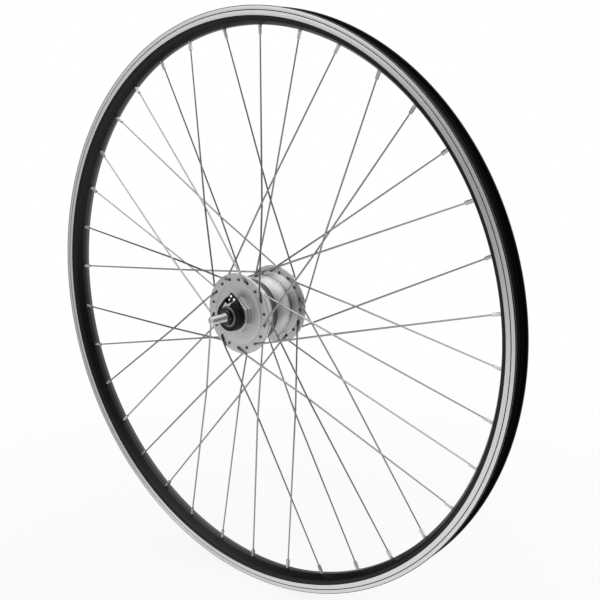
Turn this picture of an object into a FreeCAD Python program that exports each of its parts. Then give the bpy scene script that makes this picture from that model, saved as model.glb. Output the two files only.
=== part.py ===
import FreeCAD, Part
import math
import os

# Front bicycle wheel with a dynamo in its hub, laced with 36 crossed spokes.
# Millimetres. The origin is the wheel's centre, the axle lies along Y, Z is up.
# The side with the electric connector, called right, is -Y, and left is +Y.
# A value ending in _at is a distance from the centre along the axle, outwards on its own side.

Vector = FreeCAD.Vector
RIGHT = -1
LEFT = 1

# Rim, a double-wall extrusion for a 622 mm bead seat
bead_seat_radius = 311.0
tyre_wall_height = 6.0
tyre_wall_thickness = 1.5
rim_width = 25.0
brake_track_height = 10.0
track_step = 0.4
rim_depth = 18.6
bed_half_width = 3.0
box_shoulder_half_width = 10.6
box_shoulder_height = 4.2
well_depth = 2.8
well_half_width = 5.5
shelf_half_width = 7.5
rim_floor_thickness = 1.3
rim_bed_thickness = 2.0
cavity_floor_half_width = 4.2
rim_side_thickness = 1.45
valve_hole_radius = 4.25
valve_gap = 1.5
rim_tape_thickness = 0.7
rim_tape_clearance = 0.25
joint_sleeve_length = 60.0
joint_sleeve_clearance = 0.25

# Spokes and nipples
spoke_count = 36
crossings = 3
first_hole_angle = 7.7
spoke_radius = 1.0
spoke_elbow = 0.8
spoke_head_radius = 1.8
spoke_head_thickness = 0.9
spoke_seat_gap = 0.1
crossing_gap = 0.15
spoke_hole_radius = 1.3
spoke_end_in_nipple = 6.0
nipple_stagger = 0.73
nipple_square = 3.2
nipple_length = 9.5
nipple_head_radius = 2.9
nipple_head_height = 1.7
nipple_head_lift = 0.55
nipple_bore_clearance = 0.08
nipple_hole_clearance = 0.25
small_round_sides = 8

# Hub shell
flange_radius = 43.6
flange_thickness = 3.0
hole_circle_radius = 37.3
right_flange_at = 29.2
left_flange_at = 31.7
drum_radius = 33.7
drum_wall = 2.2
drum_corner = 1.4
drum_end = 16.5
drum_end_bevel = 2.6
neck_radius = 29.6
neck_wall = 2.6
neck_flare = 5.4
left_web_thickness = 3.2
left_boss_radius = 18.0
left_boss_at = 36.2
left_boss_fairing = 3.6

# Right end cap with its eight-sided boss
cap_lip_radius = 33.0
cap_lip_thickness = 0.6
cap_crown = 0.5
cap_plug_depth = 4.0
cap_seat_clearance = 0.05
cap_inner_boss_radius = 16.2
boss_across_flats = 36.2
boss_height = 5.95
boss_plinth_across_flats = 38.3
boss_plinth_height = 2.0
boss_corner_angle = 25.0

# Bearings
ball_radius = 2.38
ball_count = 9
ball_circle_radius = 9.2
race_clearance = 0.22
cup_wall = 1.6
cup_floor = 1.8
cup_rim = 2.6
cup_bore_radius = 8.3
cup_lip_radius = 9.6
cup_lip_thickness = 1.5
right_ball_at = 27.8
left_ball_at = 31.0
cone_nose = 2.0
cone_collar_radius = 10.0
cone_collar = 0.8
cone_neck_radius = 8.0
right_cone_end_at = 37.0
left_cone_end_at = 39.0
retainer_thickness = 0.5
retainer_width = 0.8
retainer_gap = 0.12
seal_thickness = 1.3
seal_gap = 0.35
seal_offset = 3.9

# Axle and what is clamped on it
axle_radius = 5.0
axle_end_radius = 4.5
axle_length = 140.0
axle_chamfer = 0.8
thread_clearance = 0.05
over_locknuts = 100.0
spacer_radius = 7.6
locknut_flange_radius = 11.3
locknut_flange = 1.5
right_nut_across_flats = 16.0
left_nut_across_flats = 17.0
left_nut_thickness = 5.0
groove_width = 1.8
groove_floor_radius = 2.8
groove_margin = 1.0
wire_radius = 0.6
wire_clearance = 0.15
lead_bend_height = 6.6

# Connector housing, a round base with a tower on the way that the plug comes in.
# In the tower, a rise is counted from the axle along that way, and across is to its right, towards +X.
housing_back_at = 38.0
housing_front_at = 44.5
housing_radius = 16.5
housing_front_radius = 15.9
plug_angle = 55.0
tower_top_rise = 20.4
tower_left_across = -14.5
tower_right_across = -3.9
tower_foot = (-2.0, -15.6)
tower_heel = (15.0, 4.6)
tower_slope_rise = 10.7
tower_top_at = 39.0
left_wall_rise = 14.5
left_wall_step_at = 39.7
pocket_start_rise = 10.3
pocket_end_rise = 18.7
pocket_floor_at = 39.4
channel_width = 3.3
rib_width = 2.0
rib_across = -9.1
rib_start_at = 41.6
rib_end_at = 40.5

# Contacts, cut from sheet: the live one has a foot in the housing, the earth one a ring round the axle
contact_thickness = 0.5
contact_width = 2.4
contact_clearance = 0.1
contact_crest = 0.65
crest_half_length = 1.0
upper_crest_rise = 17.4
lower_crest_rise = 12.3
foot_rise = 7.6
ring_radius = 11.1
tab_start_rise = -3.2
tab_left_across = -11.7
tab_right_across = -3.6
earth_bend_rise = 10.9
earth_landing_rise = 13.2

# Generator inside the shell
generator_centre = -2.0
stator_length = 22.0
pole_pairs = 14
air_gap = 0.4
claw_thickness = 2.0
claw_base_share = 0.70
claw_tip_share = 0.44
claw_tip_gap = 1.2
claw_plate_thickness = 2.0
claw_plate_step = 1.1
magnet_length = 20.0
magnet_thickness = 2.5
magnet_count = 4
magnet_joint_angle = 1.6
yoke_thickness = 2.0
core_radius = 8.6
bobbin_gap = 0.2
bobbin_wall = 1.4
bobbin_to_claws = 0.9
bobbin_flange_thickness = 1.0
coil_below_flange = 0.6
coil_gap = 0.1
clamp_nut_across_flats = 17.0
clamp_nut_thickness = 4.0
lead_hole_radius = 1.1
lead_exit_radius = 12.0
lead_turn_at = 19.3

# Radii and places that follow
rim_outer_radius = bead_seat_radius + tyre_wall_height
bed_radius = rim_outer_radius - rim_depth
bed_inner_radius = bed_radius + rim_bed_thickness
well_radius = bead_seat_radius - well_depth
cavity_top_radius = well_radius - rim_floor_thickness
track_bottom_radius = rim_outer_radius - brake_track_height
shoulder_radius = bed_radius + box_shoulder_height
valve_hole_angle = first_hole_angle + valve_gap * 360 / spoke_count
wall_inner_half_width = rim_width / 2 - tyre_wall_thickness
axle_bore_radius = axle_radius + thread_clearance
race_radius = ball_radius + race_clearance
race_corner = race_radius * math.tan(math.radians(22.5))
cup_radius = ball_circle_radius + race_radius + cup_wall
cup_seat_radius = cup_radius + cap_seat_clearance
cup_depth = race_radius + cup_floor
drum_bore_radius = drum_radius - drum_wall
yoke_outer_radius = drum_bore_radius - cap_seat_clearance
magnet_outer_radius = yoke_outer_radius - yoke_thickness - cap_seat_clearance
magnet_inner_radius = magnet_outer_radius - magnet_thickness
claw_outer_radius = magnet_inner_radius - air_gap
claw_inner_radius = claw_outer_radius - claw_thickness
claw_plate_radius = claw_inner_radius - claw_plate_step
bobbin_flange_radius = claw_inner_radius - bobbin_to_claws
coil_radius = bobbin_flange_radius - coil_below_flange
ball_at = {RIGHT: right_ball_at, LEFT: left_ball_at}
flange_at = {RIGHT: right_flange_at, LEFT: left_flange_at}
boss_front_at = right_flange_at + cap_lip_thickness + cap_crown + boss_height
locknut_at = over_locknuts / 2
lead_at = pocket_floor_at + contact_thickness + wire_radius
live_across = rib_across - (rib_width + channel_width) / 2
earth_across = rib_across + (rib_width + channel_width) / 2


def oriented(solid):
    """The solid with its faces turned outwards."""
    return solid if solid.Volume > 0 else solid.reversed()


def turned(profile, side=LEFT):
    """A solid turned about the axle from (radius, distance along the axle) corners."""
    corners = [Vector(radius, side * along, 0) for radius, along in profile]
    face = Part.Face(Part.makePolygon(corners + corners[:1]))
    return oriented(face.revolve(Vector(0, 0, 0), Vector(0, 1, 0), 360))


def ring(inner, outer, start, end, side=LEFT):
    """A plain ring about the axle."""
    return turned([(inner, start), (outer, start), (outer, end), (inner, end)], side)


def disc(radius, start, end, side=LEFT):
    """A plain disc about the axle."""
    return Part.makeCylinder(radius, end - start, Vector(0, side * start, 0), Vector(0, side, 0))


def around(angle, radius, along):
    """The point at an angle from +X towards +Z, a radius and a signed place on the axle."""
    turn = math.radians(angle)
    return Vector(radius * math.cos(turn), along, radius * math.sin(turn))


def prism(corners, start, end, side=LEFT):
    """A solid of (x, z) corners, pushed along the axle between two distances."""
    points = [Vector(x, side * start, z) for x, z in corners]
    face = Part.Face(Part.makePolygon(points + points[:1]))
    return oriented(face.extrude(Vector(0, side * (end - start), 0)))


def regular_corners(sides, across_flats, first_angle):
    """The corners of a regular polygon about the axle."""
    radius = across_flats / 2 / math.cos(math.pi / sides)
    angles = [math.radians(first_angle + 360 / sides * i) for i in range(sides)]
    return [(radius * math.cos(a), radius * math.sin(a)) for a in angles]


def cross_axes(direction):
    """Two unit vectors square to a direction, the first as near the axle's as can be."""
    first = Vector(0, 1, 0) - direction * direction.y
    if first.Length < 0.1:
        first = Vector(0, 0, 1)
    first.normalize()
    return first, direction.cross(first)


def bar_along(points, radius, sides):
    """A bar with a many-sided section and mitred corners that follows a line of points.

    radius is to the flats, so that a round hole or wire of that radius is matched.
    """
    steps = [(b - a).normalize() for a, b in zip(points, points[1:])]
    first, second = cross_axes(steps[0])
    corner = radius / math.cos(math.pi / sides)
    turns = [2 * math.pi * (i + 0.5) / sides for i in range(sides)]
    section = [points[0] + (first * math.cos(t) + second * math.sin(t)) * corner for t in turns]
    sections = [section]
    for i, step in enumerate(steps):
        square = steps[i + 1] + step if i + 1 < len(steps) else step
        place = points[i + 1]
        section = [p + step * ((place - p).dot(square) / step.dot(square)) for p in section]
        sections.append(section)
    faces = []
    for near, far in zip(sections, sections[1:]):
        for i in range(sides):
            j = (i + 1) % sides
            faces.append(Part.Face(Part.makePolygon([near[i], near[j], far[j], far[i], near[i]])))
    for end in (sections[0], sections[-1]):
        faces.append(Part.Face(Part.makePolygon(end + end[:1])))
    return oriented(Part.Solid(Part.Shell(faces)))


# Rim


def rim_section(outline):
    """A section given by its half with positive y, mirrored in the wheel's middle plane."""
    mirrored = [(radius, -along) for radius, along in reversed(outline)]
    return outline + mirrored


def cavity_section():
    """Half of the hollow between the rim's bed, sides and floor."""
    side_top = rim_width / 2 - rim_side_thickness - track_step
    return [
        (bed_inner_radius, cavity_floor_half_width),
        (shoulder_radius + rim_side_thickness * 1.4, box_shoulder_half_width - rim_side_thickness / 2),
        (bead_seat_radius - rim_floor_thickness, side_top),
        (cavity_top_radius, well_half_width),
    ]


def make_rim():
    body = turned(rim_section([
        (bed_radius, bed_half_width),
        (shoulder_radius, box_shoulder_half_width),
        (track_bottom_radius - track_step, rim_width / 2 - track_step),
        (track_bottom_radius, rim_width / 2),
        (rim_outer_radius, rim_width / 2),
        (rim_outer_radius, wall_inner_half_width),
        (bead_seat_radius, wall_inner_half_width),
        (bead_seat_radius, shelf_half_width),
        (well_radius, well_half_width),
    ]))
    cavity = turned(rim_section(cavity_section()))
    cuts = [cavity, valve_drill()]
    hole_radius = nipple_square / math.sqrt(2) + nipple_hole_clearance
    for spoke in all_spokes():
        into = spoke["into_rim"]
        ends = [spoke["nipple"] - into, spoke["nipple"] + into * (rim_bed_thickness + 1)]
        cuts.append(bar_along(ends, hole_radius, small_round_sides))
    return body.cut(cuts)


def valve_drill():
    """The round drill that opens both rim walls and the tape for the valve."""
    outward = around(valve_hole_angle, 1, 0)
    start = around(valve_hole_angle, bed_radius - 2, 0)
    return Part.makeCylinder(valve_hole_radius, rim_depth, start, outward)


def make_rim_tape():
    half = well_half_width - rim_tape_clearance
    band = ring(well_radius, well_radius + rim_tape_thickness, -half, half)
    return band.cut(valve_drill())


def make_joint_sleeve():
    """The flat sleeve inside the box section that joins the rim's two ends, across from the valve."""
    inner = bed_inner_radius + nipple_head_lift + nipple_head_height + 2 * joint_sleeve_clearance
    outer = cavity_top_radius - joint_sleeve_clearance
    (bottom_radius, bottom_half), (side_radius, side_half) = cavity_section()[:2]
    slope = (side_half - bottom_half) / (side_radius - bottom_radius)
    low = bottom_half + slope * (inner - bottom_radius) - 2 * joint_sleeve_clearance
    high = side_half - joint_sleeve_clearance
    section = [(inner, -low), (outer, -high), (outer, high), (inner, low)]
    sweep = math.degrees(joint_sleeve_length / outer)
    corners = [Vector(radius, along, 0) for radius, along in section]
    face = Part.Face(Part.makePolygon(corners + corners[:1]))
    sleeve = oriented(face.revolve(Vector(0, 0, 0), Vector(0, 1, 0), sweep))
    # A positive turn about +Y runs from +X towards -Z, against the angles used here.
    sleeve.rotate(Vector(0, 0, 0), Vector(0, 1, 0), -(valve_hole_angle + 180) - sweep / 2)
    return sleeve


# Spokes


def spoke_line(side, hole, outside):
    """One spoke's places: its head, elbow, third crossing and nipple.

    An outside spoke leaves from the flange's outer face and runs round with the angles,
    an inside one leaves from the inner face and runs the other way. At the last crossing
    the outside spoke passes inside its neighbour, so both are bent a little there. The
    outside spoke also lies flat on the flange as far as its edge.
    """
    pitch = 720 / spoke_count
    start = first_hole_angle + pitch * hole + (pitch / 2 if side == LEFT else 0)
    turn = crossings * pitch * (1 if outside else -1)
    cross = (2 * crossings - 1) / 2 * pitch * (1 if outside else -1)
    outer_face = flange_at[side]
    inner_face = outer_face - flange_thickness
    stand_off = spoke_radius + spoke_seat_gap
    lines = {True: outer_face + stand_off, False: inner_face - stand_off}
    hub_chord = hole_circle_radius * math.sin(math.radians(abs(cross)))
    rim_chord = bed_radius * math.sin(math.radians(abs(turn - cross)))
    share = hub_chord / (hub_chord + rim_chord)
    levels = {key: lines[key] * (1 - share) + nipple_stagger * share for key in lines}
    middle = (levels[True] + levels[False]) / 2
    apart = spoke_radius + crossing_gap / 2
    cross_level = middle - apart if outside else middle + apart
    hub = around(start, hole_circle_radius, side * lines[outside])
    nipple = around(start + turn, bed_radius, side * nipple_stagger)
    flat = hub * (1 - share) + nipple * share
    crossing = Vector(flat.x, side * cross_level, flat.z)
    run = Vector(nipple.x - hub.x, 0, nipple.z - hub.z).normalize()
    foot = -(hub.x * run.x + hub.z * run.z)
    axis_distance = abs(hub.x * run.z - hub.z * run.x)
    edge_radius = flange_radius + spoke_radius
    edge = hub + run * (foot + math.sqrt(edge_radius ** 2 - axis_distance ** 2))
    head_seat = inner_face if outside else outer_face
    back = -1 if outside else 1
    head = Vector(hub.x, side * (head_seat + back * (spoke_seat_gap + spoke_head_thickness)), hub.z)
    return {
        "head": head,
        "elbow": hub,
        "bends": [edge, crossing] if outside else [crossing],
        "nipple": nipple,
        "into_rim": (nipple - crossing).normalize(),
    }


def spoke_set(side, outside):
    """The spokes of one flange that leave from the same face."""
    odd = 1 if outside else 0
    return [spoke_line(side, hole, outside) for hole in range(odd, spoke_count // 2, 2)]


def all_spokes():
    return [spoke for side in (RIGHT, LEFT) for outside in (True, False)
            for spoke in spoke_set(side, outside)]


def make_spoke(spoke):
    """A wire with a flat head, an elbow, and the slight bend at its last crossing."""
    stub = (spoke["elbow"] - spoke["head"]).normalize()
    run = (spoke["bends"][0] - spoke["elbow"]).normalize()
    inward_end = nipple_length - spoke_end_in_nipple
    end = spoke["nipple"] - spoke["into_rim"] * inward_end
    neck = spoke["head"] + stub * spoke_head_thickness
    path = [neck, spoke["elbow"] - stub * spoke_elbow, spoke["elbow"] + run * spoke_elbow]
    path += spoke["bends"] + [end]
    wire = bar_along(path, spoke_radius, small_round_sides)
    head = bar_along([spoke["head"], neck], spoke_head_radius, small_round_sides)
    return wire.fuse(head)


def make_nipple(spoke):
    """A square-sided nipple: its head rests inside the rim, and the spoke's end is in its bore."""
    into = spoke["into_rim"]
    seat = spoke["nipple"] + into * (rim_bed_thickness + nipple_head_lift)
    mouth = spoke["nipple"] - into * nipple_length
    barrel = bar_along([mouth, seat], nipple_square / 2, 4)
    head = bar_along([seat, seat + into * nipple_head_height], nipple_head_radius, small_round_sides)
    bore_end = spoke["nipple"] - into * (nipple_length - spoke_end_in_nipple)
    bore_radius = spoke_radius + nipple_bore_clearance
    bore = bar_along([mouth - into, bore_end + into * nipple_bore_clearance], bore_radius, small_round_sides)
    return barrel.fuse(head).cut(bore)


# Hub shell and its right end cap


def make_hub_shell():
    """The turned shell: two flanges, the drum between them, and the left bearing's seat."""
    right_inner = -(right_flange_at - flange_thickness)
    left_inner = left_flange_at - flange_thickness
    lip_end = left_ball_at - cup_depth
    web_inner = left_flange_at - flange_thickness - left_web_thickness
    neck_bore_radius = neck_radius - neck_wall
    shell = turned([
        (drum_bore_radius, -right_flange_at),
        (flange_radius, -right_flange_at),
        (flange_radius, right_inner),
        (drum_radius + drum_corner, right_inner),
        (drum_radius, right_inner + drum_corner),
        (drum_radius, drum_end),
        (neck_radius, drum_end + drum_end_bevel),
        (neck_radius, left_inner - neck_flare),
        (neck_radius + neck_flare, left_inner),
        (flange_radius, left_inner),
        (flange_radius, left_flange_at),
        (left_boss_radius + left_boss_fairing, left_flange_at),
        (left_boss_radius, left_flange_at + left_boss_fairing / 2),
        (left_boss_radius, left_boss_at),
        (cup_seat_radius, left_boss_at),
        (cup_seat_radius, lip_end),
        (cup_lip_radius, lip_end),
        (cup_lip_radius, web_inner),
        (neck_bore_radius, web_inner),
        (neck_bore_radius, drum_end + drum_end_bevel - drum_wall),
        (drum_bore_radius, drum_end - drum_wall),
    ])
    drills = []
    pitch = 720 / spoke_count
    for side in (RIGHT, LEFT):
        for hole in range(spoke_count // 2):
            angle = first_hole_angle + pitch * hole + (pitch / 2 if side == LEFT else 0)
            near = around(angle, hole_circle_radius, side * (flange_at[side] + 1))
            far = around(angle, hole_circle_radius, side * (flange_at[side] - flange_thickness - 1))
            drills.append(bar_along([near, far], spoke_hole_radius, small_round_sides))
    return shell.cut(drills)


def make_end_cap():
    """The cap that closes the drum, with the right bearing's seat and an eight-sided boss."""
    plug_radius = drum_bore_radius - cap_seat_clearance
    crown_at = right_flange_at + cap_lip_thickness + cap_crown
    lip_end = right_ball_at - cup_depth
    cap = turned([
        (cup_lip_radius, lip_end - cup_lip_thickness),
        (cap_inner_boss_radius, lip_end - cup_lip_thickness),
        (cap_inner_boss_radius, right_flange_at - cap_plug_depth),
        (plug_radius, right_flange_at - cap_plug_depth),
        (plug_radius, right_flange_at),
        (cap_lip_radius, right_flange_at),
        (cap_lip_radius, right_flange_at + cap_lip_thickness),
        (boss_plinth_across_flats / 2, crown_at),
        (cup_seat_radius, crown_at),
        (cup_seat_radius, lip_end),
        (cup_lip_radius, lip_end),
    ], RIGHT)
    plinth = prism(regular_corners(8, boss_plinth_across_flats, boss_corner_angle),
                   right_flange_at, crown_at + boss_plinth_height, RIGHT)
    boss = prism(regular_corners(8, boss_across_flats, boss_corner_angle),
                 right_flange_at, boss_front_at, RIGHT)
    bore = disc(cup_seat_radius, lip_end, boss_front_at + 1, RIGHT)
    return cap.fuse([plinth.cut(bore), boss.cut(bore)]).removeSplitter()


# Bearings


def make_cup(side):
    """A pressed cup whose race leans at 45 degrees against the balls."""
    ball = ball_at[side]
    return turned([
        (cup_bore_radius, ball - cup_depth),
        (cup_radius, ball - cup_depth),
        (cup_radius, ball + cup_rim),
        (ball_circle_radius + race_radius, ball + cup_rim),
        (ball_circle_radius + race_radius, ball - race_corner),
        (ball_circle_radius + race_corner, ball - race_radius),
        (cup_bore_radius, ball - race_radius),
    ], side)


def make_cone(side, end_at):
    """A threaded cone, with its race leaning the other way and a neck for the cone spanner."""
    ball = ball_at[side]
    return turned([
        (axle_bore_radius, ball - cone_nose),
        (ball_circle_radius - race_radius, ball - cone_nose),
        (ball_circle_radius - race_radius, ball + race_corner),
        (ball_circle_radius - race_corner, ball + race_radius),
        (cone_collar_radius, ball + race_radius),
        (cone_collar_radius, ball + race_radius + cone_collar),
        (cone_neck_radius, ball + race_radius + cone_collar),
        (cone_neck_radius, end_at),
        (axle_bore_radius, end_at),
    ], side)


def make_ball(centre):
    """A bearing ball drawn with few flats, because eighteen of them are hidden inside."""
    rings = []
    for lift in (-45, 0, 45):
        level = math.radians(lift)
        size = ball_radius * math.cos(level)
        turns = [2 * math.pi * i / small_round_sides for i in range(small_round_sides)]
        rings.append([centre + Vector(size * math.cos(t), ball_radius * math.sin(level), size * math.sin(t))
                      for t in turns])
    poles = [centre - Vector(0, ball_radius, 0), centre + Vector(0, ball_radius, 0)]
    faces = []
    for i in range(small_round_sides):
        j = (i + 1) % small_round_sides
        for low, high in zip(rings, rings[1:]):
            faces.append(Part.Face(Part.makePolygon([low[i], low[j], high[j], high[i], low[i]])))
        for pole, edge in ((poles[0], rings[0]), (poles[1], rings[-1])):
            faces.append(Part.Face(Part.makePolygon([pole, edge[i], edge[j], pole])))
    return oriented(Part.Solid(Part.Shell(faces)))


def make_balls(side):
    angles = [360 / ball_count * i for i in range(ball_count)]
    return [make_ball(around(angle, ball_circle_radius, side * ball_at[side])) for angle in angles]


def make_retainer(side):
    """The thin ring that keeps the balls together, outside them and clear of both races."""
    inner = ball_circle_radius + ball_radius - retainer_width - 2 * retainer_gap
    offset = math.sqrt(ball_radius ** 2 - (inner - ball_circle_radius) ** 2) + retainer_gap
    start = ball_at[side] + offset
    return ring(inner, inner + retainer_width, start, start + retainer_thickness, side)


def make_seal(side):
    start = ball_at[side] + seal_offset
    return ring(cone_neck_radius + seal_gap, cup_radius, start, start + seal_thickness, side)


# Axle, locknuts and connector


def make_axle():
    """The axle, with its ends turned down beyond the locknuts to fit the fork."""
    half = axle_length / 2
    rod = turned([
        (0, -half),
        (axle_end_radius - axle_chamfer, -half),
        (axle_end_radius, -half + axle_chamfer),
        (axle_end_radius, -locknut_at),
        (axle_radius, -locknut_at),
        (axle_radius, locknut_at),
        (axle_end_radius, locknut_at),
        (axle_end_radius, half - axle_chamfer),
        (axle_end_radius - axle_chamfer, half),
        (0, half),
    ])
    start = lead_turn_at - groove_margin
    end = lead_at + groove_margin
    half_width = groove_width / 2
    corners = [(-half_width, groove_floor_radius), (half_width, groove_floor_radius),
               (half_width, axle_radius + 1), (-half_width, axle_radius + 1)]
    return rod.cut(prism(corners, start, end, RIGHT))


def make_nut(across_flats, start, end, side):
    nut = prism(regular_corners(6, across_flats, 0), start, end, side)
    return nut.cut(disc(axle_bore_radius, start - 1, end + 1, side))


def make_right_locknut():
    """The flanged nut that clamps the connector housing on the axle."""
    flange = ring(axle_bore_radius, locknut_flange_radius, housing_front_at,
                  housing_front_at + locknut_flange, RIGHT)
    nut = make_nut(right_nut_across_flats, housing_front_at + locknut_flange, locknut_at, RIGHT)
    return flange.fuse(nut)


def in_tower(rise, across, at):
    """The point at a rise along the plug's way, a distance across it and a place on the axle."""
    turn = math.radians(plug_angle)
    along, aside = math.cos(turn), math.sin(turn)
    return Vector(rise * along + across * aside, RIGHT * at, rise * aside - across * along)


def tower_plate(outline, start, end):
    """A solid of (rise, across) corners between two places on the axle."""
    points = [in_tower(rise, across, start) for rise, across in outline]
    face = Part.Face(Part.makePolygon(points + points[:1]))
    return oriented(face.extrude(Vector(0, RIGHT * (end - start), 0)))


def tower_slice(profile, left, right):
    """A solid of (rise, at) corners between two distances across the tower."""
    points = [in_tower(rise, left, at) for rise, at in profile]
    face = Part.Face(Part.makePolygon(points + points[:1]))
    return oriented(face.extrude(in_tower(0, right - left, 0)))


def tower_front_at(rise):
    """Where the tower's sloping front face is at a rise."""
    share = (rise - tower_slope_rise) / (tower_top_rise - tower_slope_rise)
    return housing_front_at + (tower_top_at - housing_front_at) * share


def earth_plate(clearance):
    """The flat part of the earth contact: a ring under the locknut and a tab towards the tower."""
    outline = [
        (tab_start_rise - clearance, tab_left_across - clearance),
        (pocket_start_rise, tab_left_across - clearance),
        (pocket_start_rise, tab_right_across + clearance),
        (tab_start_rise - clearance, tab_right_across + clearance),
    ]
    start = housing_front_at - contact_thickness
    plate = tower_plate(outline, start, housing_front_at)
    return plate.fuse(disc(ring_radius + clearance, start, housing_front_at, RIGHT))


def make_connector_housing():
    """The moulded housing: a round base and a sloping tower with a channel for each contact."""
    base = Part.makeCone(housing_radius, housing_front_radius, housing_front_at - housing_back_at,
                         Vector(0, RIGHT * housing_back_at, 0), Vector(0, RIGHT, 0))
    outline = [tower_foot, (tower_top_rise, tower_left_across), (tower_top_rise, tower_right_across), tower_heel]
    beyond = housing_front_at + 1
    above = tower_top_rise + 1
    slope = [(tower_slope_rise, housing_front_at), (above, tower_front_at(above)), (above, beyond),
             (tower_slope_rise, beyond)]
    wide = 2 * housing_radius
    tower = tower_plate(outline, housing_back_at, housing_front_at).cut(tower_slice(slope, -wide, wide))
    rib_left, rib_right = rib_across - rib_width / 2, rib_across + rib_width / 2
    channel_left, channel_right = rib_left - channel_width, rib_right + channel_width
    mouth = [(pocket_end_rise, beyond), (pocket_start_rise, beyond)]
    live_channel = [(pocket_start_rise, pocket_floor_at), (pocket_end_rise, pocket_floor_at)] + mouth
    over_rib = [(pocket_start_rise, rib_start_at), (pocket_end_rise, rib_end_at)] + mouth
    earth_channel = [(earth_landing_rise, pocket_floor_at), (pocket_end_rise, pocket_floor_at)] + mouth
    earth_channel += [(pocket_start_rise, housing_front_at - contact_thickness),
                      (earth_bend_rise, housing_front_at - contact_thickness)]
    low_wall = [(left_wall_rise, left_wall_step_at), (above, left_wall_step_at), (above, beyond),
                (left_wall_rise, beyond)]
    foot_slot = [(foot_rise - contact_clearance, pocket_floor_at), (pocket_start_rise, pocket_floor_at),
                 (pocket_start_rise, pocket_floor_at + contact_thickness),
                 (foot_rise - contact_clearance, pocket_floor_at + contact_thickness)]
    foot_half = contact_width / 2 + contact_clearance
    cuts = [
        tower_slice(live_channel, channel_left, rib_left),
        tower_slice(over_rib, rib_left, rib_right),
        tower_slice(earth_channel, rib_right, channel_right),
        tower_slice(low_wall, -wide, channel_left),
        tower_slice(foot_slot, live_across - foot_half, live_across + foot_half),
        earth_plate(contact_clearance),
        bar_along(lead_points()[-3:], wire_radius + wire_clearance, small_round_sides),
        disc(axle_bore_radius, housing_back_at - 1, beyond, RIGHT),
    ]
    return base.fuse(tower).cut(cuts)


def bent_strip(line, middle):
    """A strip of sheet whose back follows (rise, at) points, with mitred bends."""
    front = []
    for i, (rise, at) in enumerate(line):
        near = [(b[0] - a[0], b[1] - a[1]) for a, b in zip(line, line[1:])][max(0, i - 1):i + 1]
        squares = [(-dy / math.hypot(dx, dy), dx / math.hypot(dx, dy)) for dx, dy in near]
        nx, ny = sum(n[0] for n in squares), sum(n[1] for n in squares)
        reach = contact_thickness * len(squares) / (nx * nx + ny * ny)
        front.append((rise + nx * reach, at + ny * reach))
    half = contact_width / 2
    return tower_slice(line + front[::-1], middle - half, middle + half)


def crest(rise):
    """The raised fold of a contact that the plug's wire is pressed on."""
    return [(rise - crest_half_length, pocket_floor_at), (rise, pocket_floor_at + contact_crest),
            (rise + crest_half_length, pocket_floor_at)]


def make_live_contact():
    """The contact that carries the coil's lead: a foot in the housing and two crests."""
    line = [(foot_rise, pocket_floor_at)] + crest(lower_crest_rise) + crest(upper_crest_rise)
    return bent_strip(line, live_across)


def make_earth_contact():
    """The contact on the axle's side: a ring and tab under the locknut, and a strip down into its channel."""
    back_at = housing_front_at - contact_thickness
    line = [(pocket_start_rise - 1, back_at), (earth_bend_rise, back_at), (earth_landing_rise, pocket_floor_at)]
    line += crest(upper_crest_rise)
    plate = earth_plate(0).cut(disc(axle_bore_radius, housing_front_at - 1, housing_front_at + 1, RIGHT))
    return plate.fuse(bent_strip(line, earth_across)).removeSplitter()


def lead_points():
    """The lead's route: through the claw plate, along the axle's groove and up to the live contact's foot."""
    groove_radius = groove_floor_radius + wire_radius + wire_clearance
    coil_side = stator_length / 2 - generator_centre - claw_plate_thickness
    return [
        Vector(0, RIGHT * coil_side, lead_exit_radius),
        Vector(0, RIGHT * lead_turn_at, lead_exit_radius),
        Vector(0, RIGHT * lead_turn_at, groove_radius),
        Vector(0, RIGHT * lead_at, groove_radius),
        Vector(0, RIGHT * lead_at, lead_bend_height),
        in_tower(foot_rise + wire_radius, live_across, lead_at),
    ]


def make_lead_wire():
    return bar_along(lead_points(), wire_radius, small_round_sides)


# Generator


def make_claw_plate(side):
    """A soft-iron plate whose claws reach between those of the other plate."""
    outer = generator_centre + side * stator_length / 2
    inner = outer - side * claw_plate_thickness
    far = generator_centre - side * (stator_length / 2 - claw_plate_thickness - claw_tip_gap)
    pitch = 360 / pole_pairs
    pole_width = math.pi * claw_outer_radius / pole_pairs
    base_half = pole_width * claw_base_share / 2
    tip_half = pole_width * claw_tip_share / 2
    claw_reach = math.sqrt(claw_outer_radius ** 2 - base_half ** 2)
    low, high = sorted((outer, inner))
    plate = ring(axle_bore_radius, claw_plate_radius, low, high)
    arms = []
    for pole in range(pole_pairs):
        angle = pitch * (pole + (0.5 if side == LEFT else 0))
        outward = around(angle, 1, 0)
        across = around(angle + 90, 1, 0)
        claw = [Vector(0, along, 0) + across * half for along, half in (
            (outer, -base_half), (outer, base_half), (far, tip_half), (far, -tip_half))]
        face = Part.Face(Part.makePolygon(claw + claw[:1]))
        face.translate(outward * claw_inner_radius)
        arms.append(oriented(face.extrude(outward * (claw_reach - claw_inner_radius))))
        arm = [outward * radius + across * half + Vector(0, outer, 0) for radius, half in (
            (claw_plate_radius - 1, -base_half), (claw_reach, -base_half),
            (claw_reach, base_half), (claw_plate_radius - 1, base_half))]
        face = Part.Face(Part.makePolygon(arm + arm[:1]))
        arms.append(oriented(face.extrude(Vector(0, inner - outer, 0))))
    plate = plate.fuse(arms).removeSplitter()
    if side == RIGHT:
        centre = Vector(0, low - 1, lead_exit_radius)
        hole = bar_along([centre, centre + Vector(0, claw_plate_thickness + 2, 0)],
                         lead_hole_radius, small_round_sides)
        plate = plate.cut(hole)
    return plate


def make_core():
    half = stator_length / 2 - claw_plate_thickness
    return ring(axle_bore_radius, core_radius, generator_centre - half, generator_centre + half)


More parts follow.
